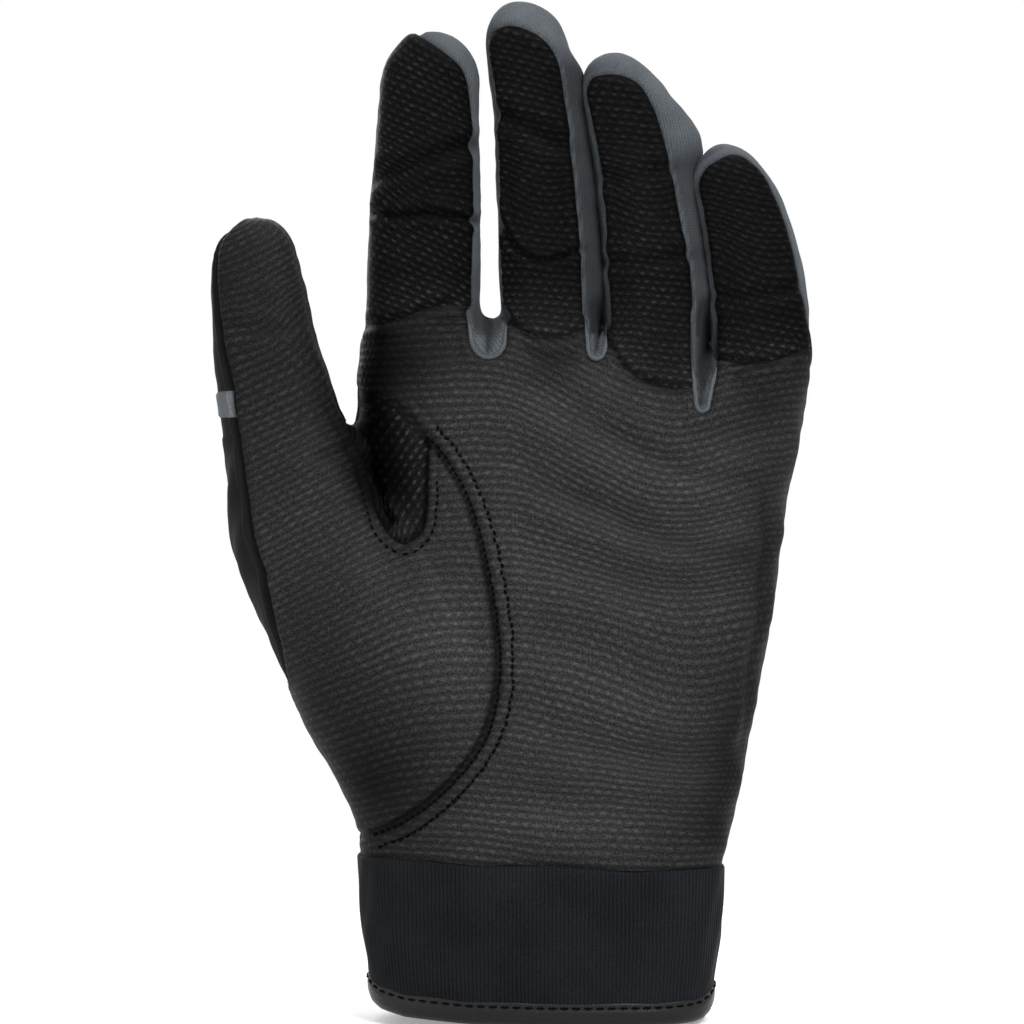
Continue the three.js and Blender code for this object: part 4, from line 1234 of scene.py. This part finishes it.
# The fingers' leather: a finer pitch, a darker and duller copy of the palm's leather as painted shade, and a
# strong painted highlight on its dashes
FINGER_SHADED_FINISH = embossed_leather("finger_leather_shaded", grey(0.15), grey(0.42), 0.02, 0.95, FINGER_PITCH)
GREY_FINISH = stretch_knit("grey_stretch", grey(0.21, 0.015), grey(0.385, 0.018), 0.03)
BAND_FINISH = stretch_knit("grey_elastic", grey(0.32, 0.015), grey(0.5, 0.018), 0.03, pitch=0.8)
BLACK_FINISH = stretch_knit("black_stretch", grey(0.06), grey(0.12), 0.02)
STRAP_FINISH = stretch_knit("strap_fabric", grey(0.055, 0.004), grey(0.115, 0.006), 0.02, pitch=0.9)
MESH_FINISH = air_mesh("black_mesh", grey(0.02), grey(0.13))
CUFF_FINISH = ribbed_knit("cuff_knit", grey(0.02, 0.004), grey(0.143, 0.013), 0.9)
BINDING_FINISH = woven_tape("binding_tape", grey(0.015), grey(0.07))
THREAD_FINISH = twisted_thread("black_thread", grey(0.005), grey(0.05))
GREY_THREAD_FINISH = twisted_thread("grey_thread", grey(0.16, 0.01), grey(0.36, 0.012))
PATCH_FINISH = hook_and_loop("hook_and_loop", grey(0.04), grey(0.12))


# Flat coordinates of the panels, along which their patterns run
def palm_flat(p):
    centre = (p[:, 0] > 8) * 2.0 - 1
    wrap = np.maximum(p[:, 1] + 13, 0) * 0.9
    return np.column_stack([p[:, 0] + centre * wrap, row_line(p)])


def thenar_flat(p):
    rise = along(THENAR_RISE, p[:, 0])[:, 1] * lerp(0.6, 1, smooth(p[:, 2], 50, 112))
    return np.column_stack([p[:, 0] - 0.5 * np.maximum(p[:, 1] + 15, 0), p[:, 2] - rise])


def crotch_flat(p):
    return np.column_stack([0.5 * p[:, 0] + 0.87 * p[:, 2], 0.87 * p[:, 0] - 0.5 * p[:, 2] + 0.6 * p[:, 1]])


def plain_flat(p):
    return np.column_stack([p[:, 0], p[:, 2]])


def side_flat(p):
    return np.column_stack([p[:, 1] + 0.5 * p[:, 0], p[:, 2]])


# How far the rows of dashes on each digit rise across it, at a height
ROW_TILT = {"index": [(160, -0.42), (186, -0.45), (225, -0.48)],
            "middle": [(160, -0.08), (185, -0.12), (205, -0.26), (230, -0.32)],
            "ring": [(150, -0.1), (190, -0.12), (215, -0.16)], "pinky": [(150, -0.16), (195, -0.34)],
            "thumb": [(138, 0.42), (185, 0.52)]}


def digit_flat(name):
    middle = FOLDS[name]["bend"][0] + 10

    def flat(p):
        _, _, hw, hd, _ = section(name, p[:, 2])
        across = angle_round(name, p) * (hw + hd) / 2
        bulge = 3.2 * np.exp(-(((p[:, 2] - middle) / 9) ** 2)) * (1 - np.exp(-((across / 7) ** 2)))
        return np.column_stack([across, p[:, 2] - table(ROW_TILT[name], p[:, 2]) * across - bulge])

    return flat


# Dressing the hand
BASE_STATION = dict.fromkeys(FINGERS, 2) | {"thumb": 7}
STRIPS = {"index": ["index_outer_strip"], "middle": ["middle_outer_strip", "middle_inner_strip"],
          "ring": ["ring_outer_strip", "ring_inner_strip"], "pinky": ["pinky_inner_strip"]}
MIDDLE_SEAM_TOP = 181
WEB_BACK = 5
WEB_HALF = 10
WEB_FOOT = 136
WEB_PARTINGS = (0, 25.5)


def bend_with(obj, half):
    """Bakes the place of a piece of a digit into its mesh, the same way for its lower and upper half."""
    if half == "lower":
        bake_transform(obj)
    else:
        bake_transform(obj)


def cut(sheet, field):
    """Parts a sheet where a field of its rest places changes sign."""
    return part(sheet, field(sheet[0][:, REST]))


def split_height(name, p):
    """Height at which the lower pieces end: level, but on the middle finger's front along its sewn curve."""
    level = np.full(len(p), float(FOLDS[name]["split"]))
    if name != "middle":
        return level
    curve = np.minimum(table(MIDDLE_SEAM, seen(p)[0]), MIDDLE_SEAM_TOP)
    return lerp(level, curve, 1 - smooth(np.abs(turn_of(name, p)), 40, 80))


def dress_finger(name, sheet):
    flat = digit_flat(name)
    for half, skin_half in zip(("upper", "lower"), cut(sheet, lambda p: p[:, 2] - split_height(name, p))):
        front, rest = cut(skin_half, lambda p: leather_of(name, p))
        back, sides = cut(rest, lambda p: back_field(name, p))
        strips = STRIPS[name] if half == "lower" else [f"{name}_tip_strip"]
        for made in (
            panel(f"{name}_leather_{half}", front, FINGER_SHADED_FINISH, [f"{name}_front_{half}"],
                  flat, LEATHER_LIFT, lambda p: leather_of(name, p)),
            panel(f"{name}_sides_{half}", sides, GREY_FINISH, strips, flat),
            panel(f"{name}_cover_{half}", back, GREY_FINISH, [f"{name}_back_{half}"],
                  plain_flat),
        ):
            bend_with(made, half)


def dress_thumb(sheet):
    flat = digit_flat("thumb")

    def band_field(p):
        return np.minimum(p[:, 2] - THUMB_BAND[0], THUMB_BAND[1] - p[:, 2])

    def cover_field(p):
        return back_field("thumb", p)

    for half, skin_half in zip(("upper", "lower"), cut(sheet, lambda p: p[:, 2] - FOLDS["thumb"]["split"])):
        front, rest = cut(skin_half, thumb_field)
        cover, side = cut(rest, cover_field)
        made = [
            panel(f"thumb_leather_{half}", front, LEATHER_FINISH, [f"thumb_front_{half}"],
                  flat, LEATHER_LIFT, thumb_field),
            panel(f"thumb_cover_{half}", cover, BLACK_FINISH, [f"thumb_back_{half}"],
                  plain_flat, COVER_LIFT, lambda p: np.abs(cover_field(p))),
        ]
        if half == "lower":
            band, side = cut(side, band_field)
            made.append(panel("thumb_grey_band", band, BAND_FINISH, ["thumb_band"], flat,
                              BAND_LIFT, band_field))
        made.append(panel(f"thumb_edge_{half}", side, BLACK_FINISH, [f"thumb_side_{half}"],
                          flat))
        for obj in made:
            bend_with(obj, half)


def web_field(p):
    """Above zero on the webs between the fingers."""
    x, y, z = p.T
    middle = np.min([np.abs(x - w["x"][1]) for w in POCKETS.values()], axis=0)
    return np.min([WEB_BACK - cup(x, z) - y, WEB_HALF - middle, z - WEB_FOOT], axis=0)


def thumb_side_field(p):
    """Above zero on the side of the hand below the thumb."""
    tx, ty, _, td, _ = section("thumb", p[:, 2])
    return np.minimum(ty + BACK_SHARE["thumb"] * td - p[:, 1], tx - p[:, 0])


def dress_hand(sheet):
    def near(*lines):
        def field(p):
            return np.min(np.abs([hand_field(p)] + [seam_side(line, p) for line in lines]), axis=0)
        return field

    sheet, _ = cut(sheet, lambda p: p[:, 2] - cuff_top(p[:, 0]))
    leather, rest = cut(sheet, hand_field)
    palm, ball = cut(leather, lambda p: seam_side(THENAR_SEAM, p))
    crotch, thenar = cut(ball, lambda p: seam_side(CROTCH_SEAM, p))
    webs, back = cut(rest, web_field)
    right, webs = cut(webs, lambda p: p[:, 0] - WEB_PARTINGS[1])
    centre, left = cut(webs, lambda p: p[:, 0] - WEB_PARTINGS[0])
    side, back = cut(back, thumb_side_field)
    behind, back = cut(back, lambda p: -seam_side(THUMB_BACK_SEAM, p))
    knuckles, main = cut(back, lambda p: seam_side(KNUCKLE_SEAM, p))
    for made in [
        panel("palm_leather", palm, LEATHER_FINISH, ["palm_panel"], palm_flat, LEATHER_LIFT,
              near(THENAR_SEAM)),
        panel("thenar_leather", thenar, LEATHER_FINISH, ["thenar_panel"], thenar_flat,
              LEATHER_LIFT, near(THENAR_SEAM, CROTCH_SEAM)),
        # The crotch gusset takes the fingers' darker copy of the leather, as painted shade
        panel("crotch_leather", crotch, FINGER_SHADED_FINISH, ["thumb_crotch_gusset"], crotch_flat),
    ] + [
        panel(f"{name}_fabric", web, GREY_FINISH, [name], side_flat)
        for name, web in zip(POCKETS, (left, centre, right))
    ] + [
        panel("thumb_side_fabric", side, BLACK_FINISH, ["thumb_side_panel"], side_flat),
        panel("thumb_back_fabric", behind, BLACK_FINISH, ["thumb_back_panel"], plain_flat),
        panel("knuckle_fabric", knuckles, GREY_FINISH, ["knuckle_panel"], plain_flat),
        panel("back_fabric", main, MESH_FINISH, ["back_panel"], plain_flat),
    ]:
        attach(made, "hand")


skin = sculpt()
remaining = skin
for number, digit_name in enumerate(DIGITS):
    digit_sheet, remaining = part(remaining, remaining[0][:, BASE + number])
    if digit_name == "thumb":
        dress_thumb(digit_sheet)
    else:
        dress_finger(digit_name, digit_sheet)
dress_hand(remaining)


# Cuff and closure: how far the hem draws in, and how far its lower edge rises at X
HEM_DRAW = 1.3
HEM_RISE = [(-42, 6), (-40, 5.3), (-39.2, 4.2), (-36.9, 3), (-31.5, 1.8), (-16.9, 0.7), (0, 0.2), (30, 0),
            (35, 0.3), (37, 0.7), (38.9, 1.8), (39.9, 3), (41, 4.5), (42, 5)]


def wrist_point(degrees, offset, z):
    """A point at an angle round the cuff's oval (90 is the back), a distance out from it and a height."""
    turn = np.radians(degrees)

    def place(t):
        return np.stack(oval(t, CUFF["half_width"], CUFF["half_depth"], CUFF["half_depth"], HAND_POWER), -1)

    way = place(turn + 0.02) - place(turn - 0.02)
    way /= np.linalg.norm(way, axis=-1, keepdims=True)
    out = np.stack([way[..., 1], -way[..., 0]], -1)
    draw_in = HEM_DRAW * (1 - smooth(z, 0, 18))
    foot = place(turn) + out * (offset + CUFF["flare"] * (z / CUFF["height"] - 1) - draw_in)[..., None]
    high = z + table(HEM_RISE, foot[..., 0]) * (1 - smooth(z, 4, 34))
    return np.concatenate([foot, high[..., None]], -1)


def arc_length(degrees):
    p = wrist_point(degrees, np.zeros(len(degrees)), np.zeros(len(degrees)))
    return np.r_[0, np.cumsum(np.linalg.norm(np.diff(p, axis=0), axis=1))]


def grid(across, along_it):
    """Flat coordinates of rings of points."""
    return np.stack(np.meshgrid(across, along_it, indexing="ij"), -1).reshape(-1, 2)


def swept(name, angles, steps, profile, finish, node, body="hand"):
    """A piece swept round the wrist: profile gives a loop of offsets and heights at each angle."""
    degrees = np.linspace(*angles, steps)
    loops = np.array([profile(d) for d in degrees], float)
    count = loops.shape[1]
    rings = wrist_point(np.repeat(degrees[:, None], count, 1), loops[..., 0], loops[..., 1])
    around = np.r_[0, np.cumsum(np.linalg.norm(np.diff(loops[steps // 2], axis=0), axis=1))]
    mesh = raw_mesh(name, rings.reshape(-1, 3), bar(steps, count), grid(arc_length(degrees), around))
    mesh.set_sharp_from_angle(angle=math.radians(50))
    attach(piece(name, mesh, finish, [node]), body)


def round_bar(low, high, bottom, top, radius, rows, steps=5):
    """A loop round an upright bar with rounded edges: offsets from low to high, heights from bottom to top.
    The first half of it runs up the outside and the second down the inside."""
    radius = min(radius, (high - low) / 2 - 1e-3, (top - bottom) / 2 - 1e-3)
    quarter = np.linspace(0, np.pi / 2, steps)
    middle = np.linspace(bottom + radius, top - radius, rows)[1:-1]
    into = high - radius
    outside_edge = ([(into + radius * np.sin(t), bottom + radius - radius * np.cos(t)) for t in quarter]
                    + [(high, z) for z in middle]
                    + [(into + radius * np.cos(t), top - radius + radius * np.sin(t)) for t in quarter])
    inside_edge = [(low + high - o, z) for o, z in outside_edge][::-1]
    return outside_edge + inside_edge


OPEN_CUFF = (SLIT[0] + SLIT[1], SLIT[0] + 360 - SLIT[1])
HEM_STITCHES = 4.4
HEM_PROUD = 0.5
PUFF = 0.8

# The cuff lies flat under the strap: the middle angle, and how far from it the cuff starts to puff out
HELD_MIDDLE = 80
HELD_HALF = (56, 68)

# The closure: both patches, the strap, and how far out from the cuff each layer starts
PATCH = {"thickness": 0.9, "height": 21.0, "radius": 0.3, "loop": (28, 78), "hook": (46, 70)}
STRAP = {"thickness": 1.8, "height": 28.0, "clearance": 1.0, "angles": (36, 112), "root": (113, 132),
         "ramp": (84, 108), "corner": 7.0, "seam": 2.3}
TAB = {"thickness": 0.8, "inset": 0.4, "radius": 0.35, "gap": 0.1, "angles": (36.3, 45)}
GUSSET = {"thickness": 0.8, "pleat": 0.5, "pleat_angle": 14, "foot": 0.6, "radius": 0.35, "angles": (76, 104)}
STRAP_LOW = BINDING["height"] + STRAP["clearance"]
STRAP_HIGH = STRAP_LOW + STRAP["height"]
PATCH_LOW = (STRAP_LOW + STRAP_HIGH - PATCH["height"]) / 2
PATCH_HIGH = PATCH_LOW + PATCH["height"]
LOOP_TOP = SEAM_GAP + PATCH["thickness"]
HOOK_FOOT = LOOP_TOP + SEAM_GAP
STRAP_FREE = HOOK_FOOT + PATCH["thickness"] + SEAM_GAP


def cuff_profile(d):
    top = float(cuff_top(wrist_point(np.array([d]), np.zeros(1), np.full(1, CUFF["height"]))[0, 0])) - 0.1
    away = abs(d - HELD_MIDDLE if d < 270 else d - HELD_MIDDLE - 360)
    free = float(smooth(away, *HELD_HALF))
    loop = []
    for offset, z in round_bar(-CUFF["thickness"], 0, BINDING["thickness"] + SEAM_GAP, top, 0.9, rows=26):
        puff = PUFF * min(max((z - BINDING["height"]) / (top - BINDING["height"]), 0), 1)
        wave = (0.16 * math.sin(d / 5.3 + z / 6) + 0.12 * math.sin(d / 2.9 - z / 4)) * float(smooth(z, 6, 9))
        loop.append((offset + (puff + wave) * free if offset > -1 else offset, z))
    return loop


def binding_profile(d):
    top = BINDING["height"] + 0.1 * math.sin(d / 4.1)
    loop = round_bar(-CUFF["thickness"] - HEM_PROUD, HEM_PROUD, 0.0, top, 1.9, steps=6, rows=8)
    return [(offset - 0.35 * bump(z - HEM_STITCHES, 0.7) * (offset > 0), z) for offset, z in loop]


def corner_cut(d, end, radius):
    """How much lower a sheet is at an angle near its rounded end."""
    away = abs(arc_length(np.linspace(d, end, 12))[-1])
    return radius - math.sqrt(max(radius**2 - max(radius - away, 0) ** 2, 0.01))


def strap_foot(d):
    return lerp(STRAP_FREE, SEAM_GAP, float(smooth(d, *STRAP["ramp"])))


def strap_profile(d):
    cut_in = corner_cut(d, STRAP["angles"][0], STRAP["corner"]) if d < 60 else 0
    low, high, foot = STRAP_LOW + cut_in, STRAP_HIGH - cut_in, strap_foot(d)
    loop = round_bar(foot, foot + STRAP["thickness"], low, high, 0.85, rows=24)
    return [(offset - 0.4 * bump(min(z - low, high - z) - STRAP["seam"], 0.6) * (offset > foot + 0.9), z)
            for offset, z in loop]


def tab_profile(d):
    foot = STRAP_FREE + STRAP["thickness"] + TAB["gap"]
    inset = corner_cut(d, STRAP["angles"][0], STRAP["corner"]) + TAB["inset"]
    low, high = STRAP_LOW + inset, STRAP_HIGH - inset
    return round_bar(foot, foot + TAB["thickness"], low, high, TAB["radius"], rows=12)


def patch_profile(foot):
    """The same loop at each angle, from a distance out from the cuff."""
    loop = round_bar(foot, foot + PATCH["thickness"], PATCH_LOW, PATCH_HIGH, PATCH["radius"], rows=12)
    return lambda _: loop


def gusset_profile(d):
    pleat = GUSSET["pleat"] * (math.cos(math.radians((d - SLIT[0]) * 360 / GUSSET["pleat_angle"])) - 1)
    out = pleat - CUFF["thickness"] - SEAM_GAP
    low = lerp(GUSSET["foot"], STRAP_LOW, float(smooth(abs(d - SLIT[0]), SLIT[1] + 1.5, SLIT[1] + 3)))
    return round_bar(out - GUSSET["thickness"], out, low, CUFF["height"], GUSSET["radius"], rows=12)


swept("cuff_sleeve", OPEN_CUFF, 240, cuff_profile, CUFF_FINISH, "cuff_band")
swept("hem_tape", OPEN_CUFF, 200, binding_profile, BINDING_FINISH, "hem_binding")
swept("wrist_loop_patch", PATCH["loop"], 40, patch_profile(SEAM_GAP), PATCH_FINISH, "loop_patch")
swept("closure_fabric", GUSSET["angles"], 60, gusset_profile, BLACK_FINISH, "closure_gusset")
swept("strap_base", STRAP["root"], 30, strap_profile, STRAP_FINISH, "strap_root")
swept("strap_band", STRAP["angles"], 110, strap_profile, STRAP_FINISH, "strap", "strap")
swept("strap_hook_patch", PATCH["hook"], 24, patch_profile(HOOK_FOOT), PATCH_FINISH,
      "hook_patch", "strap")
swept("strap_pull_tab", TAB["angles"], 24, tab_profile, BINDING_FINISH, "strap_tab", "strap")


# Thread and rolled rims
STITCH = {"length": 0.95, "gap": 0.6, "radius": 0.33}
LONG_STITCH = {"length": 2.0, "gap": 0.7, "radius": 0.26}
STITCH_STEPS = 6
STITCH_SIDES = 6
STITCH_ARCH = 0.42
STITCH_SUNK = 0.2
STITCH_LIFT = 0.42
RIM = {"radius": 0.55, "sides": 8, "step": 0.5, "lift": 0.1}
RIM_RISE = {"web_index_middle": 9, "web_middle_ring": 9, "web_ring_pinky": 11}
surface = BVHTree.FromPolygons([Vector(q) for q in skin[0][:, PLACE]],
                               skin[1].tolist() + skin[2].tolist())
EYE = Vector((SEEN_MIDDLE[0], -CAMERA_DISTANCE, SEEN_MIDDLE[1]))


def on_skin(x, z, back=False):
    """The point of the skin seen at X and Z, from the palm side or from behind, and its normal."""
    way = (Vector((x, 0, z)) - EYE).normalized()
    start = EYE + way * (2 * CAMERA_DISTANCE) if back else EYE
    hit, normal, _, _ = surface.ray_cast(start, -way if back else way)
    return hit, normal


def even_points(line, step):
    """Points at even distances along a smooth line."""
    fine = spline(line, 24)
    length = np.r_[0, np.cumsum(np.linalg.norm(np.diff(fine, axis=0), axis=1))]
    at = np.arange(0, length[-1], step)
    return np.stack([np.interp(at, length, fine[:, k]) for k in range(fine.shape[1])], 1)


def round_lines(p, normals, half, sides):
    """Rings of points round lines, from the lines' points, their normals and their half thickness, and the
    angles round a ring."""
    way = np.gradient(p, axis=-2)
    way /= np.linalg.norm(way, axis=-1, keepdims=True)
    side = np.cross(way, normals)
    side /= np.maximum(np.linalg.norm(side, axis=-1, keepdims=True), 1e-9)
    up = np.cross(side, way)
    turn = np.linspace(0, 2 * np.pi, sides, endpoint=False)
    ring = side[..., None, :] * np.cos(turn)[:, None] + up[..., None, :] * np.sin(turn)[:, None]
    return p[..., None, :] + half[:, None, None] * ring, turn


def thread(name, runs, body, kind=STITCH, finish=THREAD_FINISH):
    """Stitches as short arched tubes. Each run is the points and the normals along one stitch."""
    p, normals = np.array(runs, float).swapaxes(0, 1)
    t = np.linspace(0, 1, STITCH_STEPS)
    arch = np.sin(np.pi * t)
    p = p + normals * (STITCH_ARCH * arch[:, None] ** 0.7 - STITCH_SUNK)
    rings, turn = round_lines(p, normals, kind["radius"] * (0.55 + 0.45 * arch), STITCH_SIDES)
    starts = STITCH_STEPS * STITCH_SIDES * np.arange(len(p))
    quads = (bar(STITCH_STEPS, STITCH_SIDES) + starts[:, None, None]).reshape(-1, 4)
    uv = np.tile(grid(kind["length"] * t, kind["radius"] * turn), (len(p), 1))
    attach(piece(name, raw_mesh(name, rings.reshape(-1, 3), quads, uv), finish), body)


def stitch_runs(line, offset, lift=STITCH_LIFT, back=False, kind=STITCH):
    """Stitches on the skin along a line as it is seen, moved to the left of its run by an offset."""
    step = kind["length"] / (STITCH_STEPS - 1)
    fine = even_points(line, step)
    way = np.gradient(fine, axis=0)
    way /= np.linalg.norm(way, axis=1)[:, None]
    fine = fine + offset * np.column_stack([-way[:, 1], way[:, 0]])
    every = int(round((kind["length"] + kind["gap"]) / step))
    runs = []
    for first in range(0, len(fine) - STITCH_STEPS, every):
        hits = [on_skin(x, z, back) for x, z in fine[first:first + STITCH_STEPS]]
        if all(h is not None for h, _ in hits):
            runs.append(([h + n * lift for h, n in hits], [n for _, n in hits]))
    return runs


def back_runs(line, rows):
    return [run for row in rows for run in stitch_runs(line, row, 0.1, True, LONG_STITCH)]


def wrist_runs(angles, offset, heights, kind=LONG_STITCH):
    """Stitches round the wrist between two angles: offset gives their distance out at an angle."""
    around = np.linspace(*angles, 4000)
    length = arc_length(around)
    runs = []
    for z in heights:
        for start in np.arange(0.6, length[-1] - kind["length"], kind["length"] + kind["gap"]):
            at = np.interp(np.linspace(start, start + kind["length"], STITCH_STEPS), length, around)
            out, level = np.array([offset(d) for d in at]), np.full(STITCH_STEPS, z)
            here = wrist_point(at, out, level)
            runs.append((here, wrist_point(at, out + 1, level) - here))
    return runs


def rim(name):
    """The rolled edge round the foot of a pocket between two fingers."""
    w = POCKETS[name]
    foot, above = w["half"]
    z = np.linspace(w["foot"] + RIM_RISE[name], w["foot"] + foot, 12)
    up = smooth(z, w["foot"], w["foot"] + 14)
    half, middle = lerp(foot, above, up), lerp(*w["x"], up)
    turn = np.radians(np.linspace(0, 180, 9))[1:-1]
    round_foot = np.column_stack([w["x"][0] - foot * np.cos(turn), w["foot"] + foot - foot * np.sin(turn)])
    line = np.r_[np.column_stack([middle - half, z]), round_foot, np.column_stack([middle + half, z])[::-1]]
    hits = [on_skin(*place) for place in even_points(line, RIM["step"])]
    p, normals = np.array([hit for hit in hits if hit[0] is not None]).swapaxes(0, 1)
    p = p + RIM["lift"] * normals
    for _ in range(6):
        p[1:-1] = (p[:-2] + 2 * p[1:-1] + p[2:]) / 4
    at = np.arange(len(p))
    size = RIM["radius"] * np.minimum(1, np.minimum(at, at[::-1]) / 8 + 0.15)
    rings, turn = round_lines(p, normals, size, RIM["sides"])
    mesh = raw_mesh(f"{name}_rim", rings.reshape(-1, 3), bar(len(p), RIM["sides"]),
                    grid(at * RIM["step"], turn * RIM["radius"]))
    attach(piece(f"{name}_rim", mesh, GREY_FINISH), "hand")


def strap_top(d):
    return strap_foot(d) + STRAP["thickness"] - 0.25


for web_name in POCKETS:
    rim(web_name)
thread("thenar_thread", [run for row in THENAR_ROWS for run in stitch_runs(THENAR_SEAM[3:-1], row)], "hand")
thread("crotch_thread", stitch_runs(CROTCH_SEAM[2:-2], -2.2, 0.2), "hand")
thread("middle_thread", stitch_runs(MIDDLE_SEAM[1:], 1.2), "middle_lower")
thread("knuckle_thread", back_runs(KNUCKLE_SEAM[1:-1], (-2.6, 2.6)), "hand", LONG_STITCH, GREY_THREAD_FINISH)

# The threads of the back's seams start above the cuff
BACK_STARTS = [(-13.4, 39), (23, 39)]
back_lines = [[start] + line[1:] for start, line in zip(BACK_STARTS, BACK_SEAMS)]
thread("back_thread", [run for line in back_lines for run in back_runs(line, (-1.5, 1.5))], "hand",
       LONG_STITCH, GREY_THREAD_FINISH)
thread("thumb_back_thread", back_runs(THUMB_BACK_SEAM[1:-1], (1.5,)), "hand", LONG_STITCH, GREY_THREAD_FINISH)
thread("hem_thread", wrist_runs(OPEN_CUFF, lambda d: HEM_PROUD - 0.3, (HEM_STITCHES,)), "hand", LONG_STITCH)
strap_rows = (STRAP_LOW + STRAP["seam"], STRAP_HIGH - STRAP["seam"])
for thread_name, thread_body, (low_end, high_end) in (
    ("strap_base_thread", "hand", (STRAP["root"][0] + 1.5, STRAP["root"][1] - 1)),
    ("strap_thread", "strap", (STRAP["angles"][0] + 5.5, STRAP["angles"][1] - 1)),
):
    thread(thread_name, wrist_runs((low_end, high_end), strap_top, strap_rows), thread_body, LONG_STITCH,
           GREY_THREAD_FINISH)


# Stage, light and camera: place, size and power of each light, in metres
LIGHTS = {"key": ((0.42, -0.72, 0.8), 0.4, 13), "fill": ((-0.8, -0.7, 0.3), 0.8, 2.5),
          "top": ((0.0, 0.1, 1.1), 0.9, 6), "back": ((-0.3, 0.9, 0.6), 0.8, 7)}
LIGHT_AIM = Vector((0, 0, 0.12))
SKY_LIGHT = 0.25
WHITE = (1, 1, 1, 1)
FLOOR_HALF = 3
FLOOR_DROP = 0.0004
SHADOW_REACH = (0.09, 0.34)
SENSOR = 36

for light_name, (place, size, power) in LIGHTS.items():
    light = bpy.data.lights.new(light_name, "AREA")
    light.shape = "RECTANGLE"
    light.size = light.size_y = size
    light.energy = power
    lamp = link(bpy.data.objects.new(light_name, light))
    lamp.location = place
    lamp.rotation_euler = (LIGHT_AIM - Vector(place)).to_track_quat("-Z", "Y").to_euler()

world = bpy.data.worlds.new("studio")
bpy.context.scene.world = world
world.use_nodes = True
sky = Nodes(world.node_tree)
dim = sky.tree.nodes["Background"]
dim.inputs["Color"].default_value = WHITE
dim.inputs["Strength"].default_value = SKY_LIGHT
sky.show("World Output", sky.camera_rays(), dim, sky.node("ShaderNodeBackground", Color=WHITE, Strength=1.0))

floor_mesh = bpy.data.meshes.new("floor")
floor_corners = [(-1, -1), (1, -1), (1, 1), (-1, 1)]
floor_mesh.from_pydata([(FLOOR_HALF * x, FLOOR_HALF * y, 0) for x, y in floor_corners], [], [(0, 1, 2, 3)])
floor = link(bpy.data.objects.new("floor", floor_mesh))
floor.location.z = -FLOOR_DROP
paint = Finish("pale_floor")
paint.shader.inputs["Base Color"].default_value = (0.86, 0.86, 0.86, 1)
paint.shader.inputs["Roughness"].default_value = 0.9
paint.shader.inputs["Emission Color"].default_value = WHITE
in_view = paint.camera_rays()
paint.feed(paint.shader.inputs["Emission Strength"], paint.times(in_view, 0.3))
floor_place = paint.node("ShaderNodeTexCoord").outputs["Object"]
away = paint.node("ShaderNodeVectorMath", {"operation": "LENGTH"}, Vector=floor_place).outputs["Value"]
clear_share = paint.times(in_view, paint.ease(away, *SHADOW_REACH))
bright = paint.node("ShaderNodeEmission", Color=WHITE, Strength=1.0)
paint.show("Material Output", clear_share, paint.shader, bright)
floor_mesh.materials.append(paint.material)

camera = link(bpy.data.objects.new("camera", bpy.data.cameras.new("camera")))
camera.data.sensor_fit = "HORIZONTAL"
camera.data.sensor_width = SENSOR
camera.data.lens = SENSOR * CAMERA_DISTANCE / SEEN_WIDTH
camera.location = (SEEN_MIDDLE[0] * METRE, -CAMERA_DISTANCE * METRE, SEEN_MIDDLE[1] * METRE)
camera.rotation_euler = (math.pi / 2, 0, 0)
bpy.context.scene.camera = camera
bpy.context.scene.view_settings.view_transform = "Standard"
